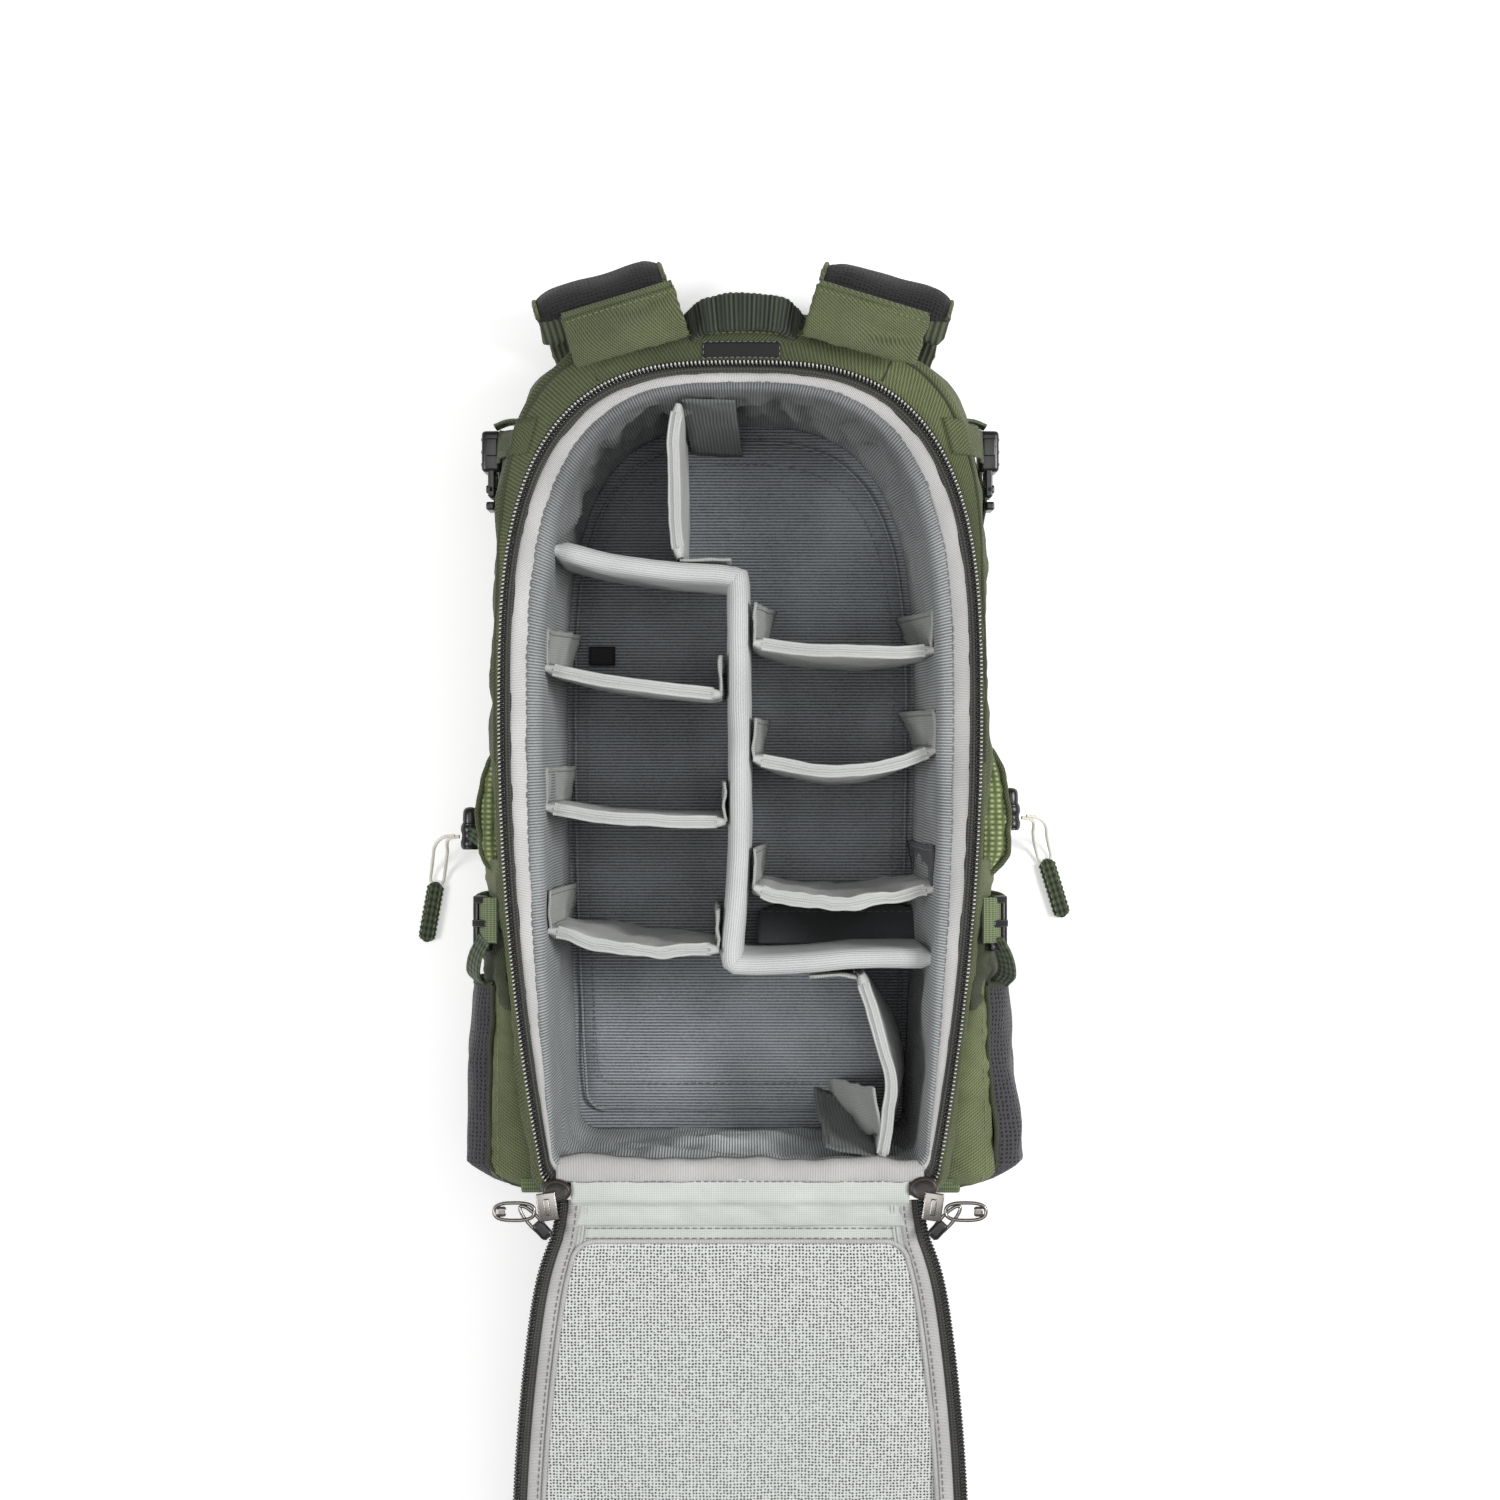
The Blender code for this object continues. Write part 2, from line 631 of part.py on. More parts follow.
def build_side_mesh(side, tag):
    """The woven stretch panel on the side wall, which carries the cord lock."""
    points = [(0.1346, 0.0020), (0.1395, -0.0020), (0.1450, -0.0140), (0.1466, -0.0300),
              (0.1466, -0.0560), (0.1400, -0.0660), (0.1324, -0.0690)]
    plate(f"side_mesh_{tag}", [(side * x, y) for x, y in points], 0.0480, 0.1260, LIGHT_OLIVE, bevel=0.003)


LOCK_RADIUS = 0.0056
LOCK_LENGTH = 0.0150
BUTTON_RADIUS = 0.0044


def build_cord_lock(side, tag, y):
    """A barrel cord lock lying along the bag's side; its button is pressed in along -Y."""
    centre = (side * 0.1535, y, 0.0750)
    wall = 0.0008
    profile = [
        (0.0, LOCK_LENGTH / 2 - 0.0100), (LOCK_RADIUS - wall, LOCK_LENGTH / 2 - 0.0100),
        (LOCK_RADIUS - wall, LOCK_LENGTH / 2), (LOCK_RADIUS, LOCK_LENGTH / 2),
        (LOCK_RADIUS, -LOCK_LENGTH / 2 + 0.0015), (LOCK_RADIUS - 0.0015, -LOCK_LENGTH / 2),
        (0.0, -LOCK_LENGTH / 2),
    ]
    barrel = turned(f"cord_lock_barrel_{tag}", profile, BLACK_PLASTIC)
    barrel.location = centre
    barrel.rotation_euler = (-math.pi / 2, 0.0, 0.0)
    profile = [
        (0.0, 0.0065), (0.0022, 0.0060), (0.0038, 0.0045), (BUTTON_RADIUS, 0.0020),
        (BUTTON_RADIUS, -0.0040), (0.0, -0.0040),
    ]
    button = turned(f"cord_lock_button_{tag}", profile, BLACK_PLASTIC)
    button.location = (centre[0], y + LOCK_LENGTH / 2 + 0.0025, centre[2])
    button.rotation_euler = (-math.pi / 2, 0.0, 0.0)


def turned(name, profile, surface, steps=12):
    """A turned shape about Z, from a profile that runs down its outer side."""
    bm = bmesh.new()
    ring = []
    for radius, z in profile:
        ring.append(bm.verts.new((radius, 0.0, z)))
    for first, second in zip(ring, ring[1:]):
        bm.edges.new((first, second))
    mesh = bpy.data.meshes.new(name)
    bm.to_mesh(mesh)
    bm.free()
    item = new_object(name, mesh, surface)
    screw = item.modifiers.new("turn", "SCREW")
    screw.steps = steps
    screw.render_steps = steps
    screw.use_merge_vertices = True
    screw.merge_threshold = 0.00001
    screw.use_smooth_shade = True
    return item


# Routes of the loops: where a loop leaves its lock, and on down to the floor.
CORD_ROUTES = {
    "left": [
        (-0.1612, -0.0490, 0.0750), (-0.1650, -0.0492, 0.0745), (-0.1690, -0.0510, 0.0680),
        (-0.1720, -0.0540, 0.0530), (-0.1745, -0.0585, 0.0340), (-0.1768, -0.0640, 0.0160),
        (-0.1785, -0.0700, 0.0055), (-0.1796, -0.0760, 0.0025),
    ],
    "right": [
        (0.1612, -0.0380, 0.0750), (0.1650, -0.0382, 0.0745), (0.1688, -0.0398, 0.0680),
        (0.1716, -0.0425, 0.0530), (0.1738, -0.0465, 0.0340), (0.1758, -0.0515, 0.0160),
        (0.1778, -0.0570, 0.0055), (0.1795, -0.0625, 0.0025),
    ],
}


def cord_loop_points(route):
    """Out along one strand, round the end and back along the other, a little further from the bag."""
    middle = smooth_path(route, 3)
    heading = (middle[-1] - middle[-2])
    heading.z = 0.0
    heading.normalize()
    across = Vector((-heading.y, heading.x, 0.0))
    out = []
    back = []
    for i, point in enumerate(middle):
        widen = CORD_SPREAD * (0.35 + 0.65 * min(1.0, i / (len(middle) * 0.5)))
        out.append(point + across * widen)
        back.append(point - across * widen)
    turn = []
    for step in range(1, 6):
        angle = math.pi * step / 6
        turn.append(middle[-1] + across * CORD_SPREAD * math.cos(angle) + heading * CORD_SPREAD * math.sin(angle))
    return out + turn + list(reversed(back)), middle[-1], heading


def build_cord(side, tag):
    points, end, heading = cord_loop_points(CORD_ROUTES[tag])
    tube(f"cord_loop_{tag}", points, CORD_RADIUS, CORD)
    tab = box(f"cord_tab_{tag}", (0.0120, 0.0340, 0.0040), LIGHT_OLIVE, bevel=0.0012)
    middle = end + heading * (CORD_SPREAD + CORD_RADIUS + 0.0004 + 0.0170)
    tab.location = (middle.x, middle.y, 0.0025)
    tab.rotation_euler = (0.0, 0.0, math.atan2(heading.y, heading.x) + math.pi / 2)


# ---------------------------------------------------------------- harness

def strap_frame(side):
    out = Vector((side * math.sin(STRAP_SPLAY), math.cos(STRAP_SPLAY), 0.0))
    across = Vector((math.cos(STRAP_SPLAY), -side * math.sin(STRAP_SPLAY), 0.0))
    return out, across


def build_strap(side, tag):
    """A padded strap over the top end of the bag, down it and back under the bag."""
    out, across = strap_frame(side)
    root = Vector((side * STRAP_ROOT.x, STRAP_ROOT.y, STRAP_ROOT.z))
    bend = [
        (0.000, 0.1590), (0.018, 0.1600), (0.034, 0.1570), (0.046, 0.1450), (0.053, 0.1200),
        (0.054, 0.0900), (0.051, 0.0600), (0.044, 0.0340), (0.030, 0.0150), (0.012, 0.0080),
    ]
    stations = []
    for reach, z in bend:
        place = root + out * reach
        stations.append(((place.x, place.y, z), across, STRAP_WIDTH, STRAP_THICKNESS))
    under = [(0.0700, 0.195, 0.070), (0.0715, 0.150, 0.068), (0.0720, 0.050, 0.062),
             (0.0720, -0.060, 0.055), (0.0725, -0.110, 0.040), (0.0730, -0.125, 0.030)]
    for x, y, width in under:
        stations.append(((side * x, y, 0.0067), (1, 0, 0), width, STRAP_THICKNESS))
    ribbon(f"shoulder_strap_{tag}", stations, AIR_MESH)

    flap = []
    for reach, z in [(-0.0040, 0.1682), (0.0120, 0.1692), (0.0250, 0.1690)]:
        place = root + out * reach
        flap.append(((place.x, place.y, z), across, STRAP_WIDTH - 0.0030, 0.0040))
    ribbon(f"strap_flap_{tag}", flap, OLIVE)

    tail = [(0.0735, -0.1290, 0.0064), (0.0800, -0.1600, 0.0050), (0.0900, -0.2000, 0.0060),
            (0.0960, -0.2250, 0.0120), (0.0975, -0.2330, 0.0190)]
    stations = [((side * x, y, z), (1, 0.25 * side, 0), 0.0200, 0.0016) for x, y, z in tail]
    ribbon(f"strap_webbing_{tag}", stations, LIGHT_OLIVE)


HANDLE_CENTRE_X = 0.0020


def build_handle():
    arch = [
        (-0.0270, 0.2360, 0.1440), (-0.0250, 0.2370, 0.1530), (-0.0170, 0.2385, 0.1600),
        (0.0000, 0.2395, 0.1630), (0.0170, 0.2385, 0.1600), (0.0250, 0.2370, 0.1530),
        (0.0270, 0.2360, 0.1440),
    ]
    stations = []
    for x, y, z in arch:
        stations.append(((x + HANDLE_CENTRE_X, y + 0.0040, z), (0, 1, -0.15), 0.0200, 0.0040))
    ribbon("grab_handle", stations, LIGHT_OLIVE)


build_body()
build_padding()
build_rim()
build_front_pockets()
build_dividers()
build_panel()
for SIDE, TAG in ((-1, "left"), (1, "right")):
    build_slider(SIDE, TAG)
    build_side_pocket(SIDE, TAG)
    build_buckle(SIDE, TAG)
    build_lower_webbing(SIDE, TAG)
    build_side_mesh(SIDE, TAG)
    build_cord_lock(SIDE, TAG, CORD_ROUTES[TAG][0][1])
    build_cord(SIDE, TAG)
    build_strap(SIDE, TAG)
build_handle()
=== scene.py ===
import json
import math

import bmesh
import bpy
import numpy as np
from mathutils import Matrix, Vector, noise


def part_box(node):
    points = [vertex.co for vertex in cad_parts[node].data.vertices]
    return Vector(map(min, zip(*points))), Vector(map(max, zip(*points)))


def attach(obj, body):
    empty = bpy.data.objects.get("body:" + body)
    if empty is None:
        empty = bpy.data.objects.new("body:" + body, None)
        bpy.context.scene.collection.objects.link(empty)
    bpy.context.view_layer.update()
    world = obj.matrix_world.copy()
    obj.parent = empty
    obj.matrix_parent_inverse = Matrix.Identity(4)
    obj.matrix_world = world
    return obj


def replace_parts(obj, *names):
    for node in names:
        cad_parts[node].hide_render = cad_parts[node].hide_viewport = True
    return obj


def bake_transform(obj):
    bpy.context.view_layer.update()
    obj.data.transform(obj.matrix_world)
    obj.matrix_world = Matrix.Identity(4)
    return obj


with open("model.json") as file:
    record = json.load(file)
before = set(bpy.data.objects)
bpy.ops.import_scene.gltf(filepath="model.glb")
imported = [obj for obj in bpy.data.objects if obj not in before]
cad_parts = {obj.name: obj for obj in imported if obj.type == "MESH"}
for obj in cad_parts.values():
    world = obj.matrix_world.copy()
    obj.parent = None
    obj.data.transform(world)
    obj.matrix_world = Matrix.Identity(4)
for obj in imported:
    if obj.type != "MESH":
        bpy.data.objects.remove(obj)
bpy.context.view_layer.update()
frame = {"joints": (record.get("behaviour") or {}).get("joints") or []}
joints = {joint["name"]: joint for joint in frame["joints"]}
scene = bpy.context.scene

# The looks of a rear-opening camera backpack that lies on its front with its back panel folded down.
# Metres, +Z up, +Y towards the top of the bag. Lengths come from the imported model's own boxes.

# ---------------------------------------------------------------- driving dimensions

shell_low, shell_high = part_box("side_wall_shell")
binding_low, binding_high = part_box("rim_binding")
divider_low, divider_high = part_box("divider_main")
teeth_low, teeth_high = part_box("body_zip_teeth")

WIDEST_Y = 0.020
SHELL_HALF = shell_high.x
SHELL_TOP = shell_high.y
SHELL_BOTTOM = shell_low.y
RIM_INSET = 0.0050
RIM_HALF = binding_high.x + RIM_INSET
RIM_TOP = binding_high.y + RIM_INSET
RIM_BOTTOM = binding_low.y - RIM_INSET
OPENING_HALF = RIM_HALF - 0.0223
OPENING_TOP = RIM_TOP - 0.0150
OPENING_BOTTOM = RIM_BOTTOM + 0.0100
OUTER_TAPER = 0.37
INNER_TAPER = 0.13
RIM_POWER = 3.0
SHELL_POWER = 4.2
CORNER = 0.012
RIM_HIGH = binding_high.z
DIVIDER_TOP = divider_high.z
FLOOR_HIGH = divider_low.z
HINGE = Vector(joints["panel_hinge"]["pos_m"])
OPEN_ANGLE = math.radians(joints["panel_hinge"]["range_deg"][1])
SIDES = {"left": -1.0, "right": 1.0}

# ---------------------------------------------------------------- camera, floor and lights


def build_camera():
    """The camera looks straight down on the open bag."""
    data = bpy.data.cameras.new("camera")
    data.lens = 76.4
    data.sensor_width = 36.0
    camera = bpy.data.objects.new("camera", data)
    camera.location = (0.0054, 0.0, 1.885)
    scene.collection.objects.link(camera)
    scene.camera = camera


def build_light(name, size, energy, place, aim):
    """A square softbox that points at the aim."""
    data = bpy.data.lights.new(name, "AREA")
    data.shape = "SQUARE"
    data.size = size
    data.energy = energy
    light = bpy.data.objects.new(name, data)
    light.location = place
    light.rotation_euler = (Vector(aim) - Vector(place)).to_track_quat("-Z", "Y").to_euler()
    scene.collection.objects.link(light)


build_camera()
build_light("overhead_softbox", 1.4, 17.0, (0.0, 0.10, 2.6), (0.0, 0.0, 0.1))
build_light("left_softbox", 0.9, 34.0, (-2.0, -0.4, 2.2), (0.0, 0.0, 0.1))
build_light("right_softbox", 0.9, 60.0, (2.0, 0.2, 2.1), (0.0, 0.0, 0.1))
world = bpy.data.worlds.new("studio")
world.use_nodes = True
world.node_tree.nodes["Background"].inputs["Color"].default_value = (1.0, 1.0, 1.0, 1.0)
world.node_tree.nodes["Background"].inputs["Strength"].default_value = 0.26
scene.world = world
scene.view_settings.view_transform = "Standard"

# ---------------------------------------------------------------- materials


def srgb(red, green, blue):
    """A colour as seen on a screen, 0 to 255, as the linear colour a shader takes."""
    parts = [value / 255 for value in (red, green, blue)]
    return tuple(v / 12.92 if v <= 0.04045 else ((v + 0.055) / 1.055) ** 2.4 for v in parts) + (1.0,)


class Look:
    """One procedural material, built node by node."""

    def __init__(self, name, roughness, **fixed):
        self.material = bpy.data.materials.new(name)
        self.material.use_nodes = True
        self.tree = self.material.node_tree
        self.shader = self.tree.nodes["Principled BSDF"]
        self.shader.inputs["Roughness"].default_value = roughness
        for name_of_socket, value in fixed.items():
            self.shader.inputs[name_of_socket].default_value = value
        places = self.tree.nodes.new("ShaderNodeTexCoord")
        self.places = {"object": places.outputs["Object"], "uv": places.outputs["UV"]}

    def node(self, kind, inputs, **settings):
        made = self.tree.nodes.new(kind)
        for key, value in settings.items():
            setattr(made, key, value)
        for key, value in inputs.items():
            if isinstance(value, bpy.types.NodeSocket):
                self.tree.links.new(value, made.inputs[key])
            else:
                made.inputs[key].default_value = value
        return made.outputs[0]

    def sum(self, first, second):
        return self.node("ShaderNodeMath", {0: first, 1: second}, operation="ADD")

    def times(self, first, second):
        return self.node("ShaderNodeMath", {0: first, 1: second}, operation="MULTIPLY")

    def axes(self, space):
        made = self.tree.nodes.new("ShaderNodeSeparateXYZ")
        self.tree.links.new(self.places[space], made.inputs[0])
        return list(made.outputs)

    def wave(self, value, pitch):
        """From 0 to 1 and back once in every pitch."""
        swing = self.node("ShaderNodeMath", {0: self.times(value, 2 * math.pi / pitch)}, operation="SINE")
        return self.sum(self.times(swing, 0.5), 0.5)

    def remap(self, value, low, high):
        """From 0 at the low value to 1 at the high one."""
        return self.node("ShaderNodeMapRange", {0: value, 1: low, 2: high, 3: 0.0, 4: 1.0})

    def speckle(self, space, size, detail=3.0):
        """Soft noise whose spots are about that size."""
        inputs = {"Vector": self.places[space], "Scale": 1.0 / size, "Detail": detail}
        return self.node("ShaderNodeTexNoise", inputs)

    def finish(self, dark, light, factor, height, depth):
        self.node("ShaderNodeMix", {0: factor, 6: dark, 7: light}, data_type="RGBA")
        colour = self.tree.nodes[-1].outputs[2]
        self.tree.links.new(colour, self.shader.inputs["Base Color"])
        bump = self.node("ShaderNodeBump", {"Height": height, "Distance": depth, "Strength": 0.85})
        self.tree.links.new(bump, self.shader.inputs["Normal"])
        return self.material


def fabric(name, dark, light, pattern, pitch, depth, space="uv", grain=0.35, blotch=0.30, roughness=0.85,
           sheen=0.15, **fixed):
    """A woven, knitted or felted cloth: its pattern, fine fibre noise, and slow changes of colour."""
    look = Look(name, roughness, **{"Sheen Weight": sheen, "Sheen Roughness": 0.5}, **fixed)
    across, along, third = look.axes(space)
    fine = look.speckle(space, pitch * 0.6)
    if pattern == "ribs":
        weave = look.wave(across, pitch)
    elif pattern == "rows":
        weave = look.wave(along, pitch)
    elif pattern == "twill":
        diagonal = look.sum(look.sum(across, along), third)
        weave = look.sum(look.times(look.wave(diagonal, pitch), 0.7),
                         look.times(look.wave(across, pitch * 0.5), 0.3))
    elif pattern == "plain":
        weave = look.times(look.wave(look.sum(across, look.times(third, 0.7)), pitch),
                           look.wave(along, pitch))
    elif pattern == "webbing":
        weave = look.sum(look.times(look.wave(along, pitch), 0.6),
                         look.times(look.wave(across, pitch * 1.7), 0.4))
    elif pattern == "holes":
        cells = {"Vector": look.places[space], "Scale": 1.0 / pitch, "Randomness": 0.25}
        weave = look.remap(look.node("ShaderNodeTexVoronoi", cells), 0.22, 0.42)
    else:
        weave = look.speckle(space, pitch, 6.0)
    height = look.sum(look.times(weave, 1.0 - grain), look.times(fine, grain))
    slow = look.speckle(space, 0.045, 4.0)
    factor = look.sum(look.times(height, 1.0 - blotch), look.times(slow, blotch))
    return look.finish(srgb(*dark), srgb(*light), look.remap(factor, 0.18, 0.82), height, depth)


def hard(name, dark, light, grain, depth, roughness, space="object", **fixed):
    """Moulded plastic or cast metal, with a fine grain and a slow change of colour."""
    look = Look(name, roughness, **fixed)
    fine = look.speckle(space, grain, 5.0)
    slow = look.speckle(space, grain * 25, 2.0)
    factor = look.sum(look.times(fine, 0.6), look.times(slow, 0.4))
    return look.finish(srgb(*dark), srgb(*light), factor, fine, depth)


OLIVE = fabric("olive_twill", (30, 35, 18), (100, 107, 72), "twill", 0.0021, 0.00060, blotch=0.28, sheen=0.06)
OLIVE_PANEL = fabric("olive_twill_pocket", (52, 58, 34), (124, 131, 94), "twill", 0.0019, 0.00050,
                     blotch=0.30, sheen=0.08)
OLIVE_SOLID = fabric("olive_twill_pads", (40, 46, 25), (118, 125, 88), "twill", 0.0021, 0.00060, "object",
                     blotch=0.28, sheen=0.08)
OLIVE_DARK = fabric("olive_dark_side", (20, 24, 14), (74, 80, 54), "twill", 0.0019, 0.00050, sheen=0.06)
STRAP_CLOTH = fabric("strap_edge_cloth", (24, 28, 19), (86, 91, 68), "ribs", 0.0034, 0.00090, grain=0.3,
                     sheen=0.06)
OLIVE_LIGHT = fabric("olive_light_net", (84, 97, 54), (190, 200, 146), "plain", 0.0030, 0.00080, grain=0.30,
                     blotch=0.20)
WEBBING = fabric("olive_webbing", (54, 64, 42), (132, 146, 106), "webbing", 0.0012, 0.00040, grain=0.30,
                 blotch=0.25)
BRAID = fabric("dark_olive_braid", (12, 17, 10), (86, 98, 72), "webbing", 0.0026, 0.00080, grain=0.25,
               blotch=0.2)
CRIMP = fabric("crimped_handle_webbing", (6, 9, 6), (66, 75, 58), "ribs", 0.0030, 0.00100, grain=0.25,
               blotch=0.25)
THREAD = fabric("olive_thread", (84, 94, 56), (142, 154, 104), "felt", 0.0008, 0.00010, "object")
GREY_THREAD = fabric("grey_thread", (84, 85, 86), (132, 133, 133), "felt", 0.0008, 0.00010, "object")
BINDING = fabric("grosgrain_binding", (136, 136, 135), (216, 214, 212), "ribs", 0.0009, 0.00040, grain=0.40,
                 blotch=0.40)
TAPE = fabric("zip_tape", (26, 26, 24), (92, 92, 86), "plain", 0.0018, 0.00050)
WALL = fabric("ribbed_wall_lining", (64, 68, 70), (180, 183, 184), "ribs", 0.0016, 0.00070, grain=0.40,
              blotch=0.28)
SLATE = fabric("ribbed_floor_lining", (20, 22, 25), (166, 170, 175), "rows", 0.0018, 0.00080, "object",
               grain=0.50, blotch=0.28)
FELT = fabric("ribbed_brushed_felt", (148, 150, 150), (218, 220, 219), "rows", 0.0014, 0.00050, grain=0.60,
              blotch=0.30, sheen=0.25)
PALE = fabric("pale_divider_cloth", (158, 160, 158), (216, 217, 214), "plain", 0.0012, 0.00030, grain=0.55,
              blotch=0.45, sheen=0.15)
TAB_CLOTH = fabric("divider_tab_cloth", (132, 135, 131), (196, 199, 194), "plain", 0.0014, 0.00040,
                   blotch=0.4)
# A darker ribbed copy of the tab cloth: painted shade for the tabs that hang in the shade of the top and base
# walls.
TAB_PAINTED_SHADE = fabric("tab_cloth_painted_shade", (62, 66, 66), (118, 123, 121), "ribs", 0.0020, 0.00060, blotch=0.4)
HOOKS = fabric("hook_strip", (26, 27, 30), (84, 86, 90), "felt", 0.0010, 0.00100, "object", grain=0.6)
PANEL_CLOTH = fabric("panel_lining", (168, 172, 168), (220, 223, 218), "plain", 0.0012, 0.00030, grain=0.45,
                     blotch=0.40)
MESH = fabric("charcoal_air_mesh", (4, 4, 5), (58, 56, 61), "holes", 0.0024, 0.00120, grain=0.20, blotch=0.20)
STRAP_MESH = fabric("black_strap_mesh", (1, 1, 1), (30, 29, 31), "holes", 0.0022, 0.00120, grain=0.20,
                    blotch=0.10, sheen=0.02)
NET = fabric("pocket_net", (70, 72, 72), (204, 207, 204), "holes", 0.0019, 0.00040, grain=0.10, blotch=0.05)
CREAM = fabric("cream_cord_sheath", (206, 202, 188), (242, 240, 230), "twill", 0.0014, 0.00020, "object",
               sheen=0.1)
PATCH = fabric("black_woven_patch", (6, 6, 7), (24, 24, 26), "rows", 0.0010, 0.00015, roughness=0.75,
               sheen=0.0)
BLACK = hard("black_plastic", (8, 8, 9), (30, 30, 33), 0.0008, 0.00006, 0.30)
CAPS = hard("zip_end_caps", (22, 17, 15), (50, 42, 39), 0.0010, 0.00010, 0.35)
NICKEL = hard("nickel_slider", (128, 124, 120), (146, 142, 138), 0.0060, 0.00001, 0.26, Metallic=1.0)
TEETH = hard("coil_zip_teeth", (10, 9, 9), (38, 37, 35), 0.0010, 0.00005, 0.25, **{"Coat Weight": 0.6})
# Light-grey caps over the dark coil's beads: painted highlights.
GLINT = hard("coil_painted_highlights", (150, 148, 143), (226, 224, 218), 0.0015, 0.00003, 0.22, **{"Coat Weight": 0.5})
STUDIO = hard("studio_floor", (250, 250, 250), (253, 253, 253), 0.05, 0.00001, 0.9,
              **{"Emission Color": (1.0, 1.0, 1.0, 1.0), "Emission Strength": 0.30})


def paint_light_and_shade(material, spots):
    """Makes a cloth lighter or darker around some places, each given as (x, y, z), radius and amount.

    It paints light and shade into the colour, painted light where the amount is above 0 and painted shade
    where it is below, for local light and shade that the three softboxes don't give."""
    nodes = material.node_tree.nodes
    links = material.node_tree.links
    shader = next(node for node in nodes if node.type == "BSDF_PRINCIPLED")
    source = shader.inputs["Base Color"].links[0].from_socket
    place = nodes.new("ShaderNodeTexCoord").outputs["Object"]
    for centre, radius, amount in spots:
        distance = nodes.new("ShaderNodeVectorMath")
        distance.operation = "DISTANCE"
        distance.inputs[1].default_value = centre
        links.new(place, distance.inputs[0])
        fade = nodes.new("ShaderNodeMapRange")
        fade.interpolation_type = "SMOOTHSTEP"
        fade.inputs["From Max"].default_value = radius
        fade.inputs["To Min"].default_value = 1.0 + amount
        fade.inputs["To Max"].default_value = 1.0
        links.new(distance.outputs["Value"], fade.inputs["Value"])
        tone = nodes.new("ShaderNodeHueSaturation")
        links.new(fade.outputs["Result"], tone.inputs["Value"])
        links.new(source, tone.inputs["Color"])
        source = tone.outputs["Color"]
    links.new(source, shader.inputs["Base Color"])


# Painted light on the floor in the open middles of the top-right and bottom compartments, and painted shadow
# in the small top-left and bottom-right ones.
paint_light_and_shade(SLATE, [((0.040, 0.110, 0.02), 0.085, 0.35), ((-0.020, -0.170, 0.02), 0.100, 0.80),
                      ((0.098, -0.165, 0.02), 0.045, -0.55), ((-0.080, 0.150, 0.02), 0.060, -0.35)])
# Painted shade round the lining's top arch and by the lower right wall, and painted light on the base wall.
paint_light_and_shade(WALL, [((-0.090, 0.165, 0.11), 0.120, -0.38), ((0.000, 0.230, 0.11), 0.125, -0.42),
                     ((0.090, 0.175, 0.11), 0.105, -0.30), ((0.000, -0.225, 0.10), 0.120, 0.95),
                     ((0.112, -0.180, 0.06), 0.070, -0.35), ((0.000, 0.235, 0.15), 0.090, -0.32),
                     ((-0.090, 0.185, 0.15), 0.080, -0.28), ((0.090, 0.185, 0.15), 0.080, -0.22)])
# Painted light on the binding's left side and top, and painted shade on its right side.
paint_light_and_shade(BINDING, [((0.115, 0.000, 0.155), 0.170, -0.12), ((-0.115, 0.000, 0.155), 0.190, 0.26),
                        ((0.000, 0.215, 0.155), 0.090, 0.12)])
# Painted light on the right pocket cloth.
paint_light_and_shade(OLIVE_PANEL, [((0.135, -0.180, 0.13), 0.110, 0.22)])
# Painted shade on the shell's top and left shoulder, and painted light on its right shoulder.
paint_light_and_shade(OLIVE, [((-0.020, 0.225, 0.15), 0.120, -0.32), ((0.100, 0.195, 0.15), 0.080, 0.55),
                      ((-0.115, 0.150, 0.15), 0.080, -0.10)])
# Painted shade on the two strap covers where they leave the bag's top.
paint_light_and_shade(OLIVE_SOLID, [((-0.080, 0.240, 0.17), 0.050, -0.30), ((0.045, 0.240, 0.17), 0.035, -0.12)])


# ---------------------------------------------------------------- meshes


def place_piece(piece, surface, body="root", slot=None, replaces=()):
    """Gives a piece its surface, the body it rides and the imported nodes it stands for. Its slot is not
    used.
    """
    piece.data.materials.append(surface)
    scene.collection.objects.link(piece)
    if body:
        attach(piece, body)
    if replaces:
        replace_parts(piece, *replaces)
    return piece


def mesh_piece(name, points, faces, surface, uvs=None, thickness=0.0, **rest):
    """A piece from points and faces, with a cloth's thickness where it is a sheet."""
    mesh = bpy.data.meshes.new(name)
    mesh.from_pydata([tuple(point) for point in points], [], faces)
    if uvs is not None:
        layer = mesh.uv_layers.new(name="UVMap")
        layer.data.foreach_set("uv", np.asarray(uvs, float).ravel())
    mesh.polygons.foreach_set("use_smooth", [True] * len(mesh.polygons))
    piece = bpy.data.objects.new(name, mesh)
    if thickness:
        solid = piece.modifiers.new("thickness", "SOLIDIFY")
        solid.thickness = thickness
        solid.offset = 0.0
    return place_piece(piece, surface, **rest)


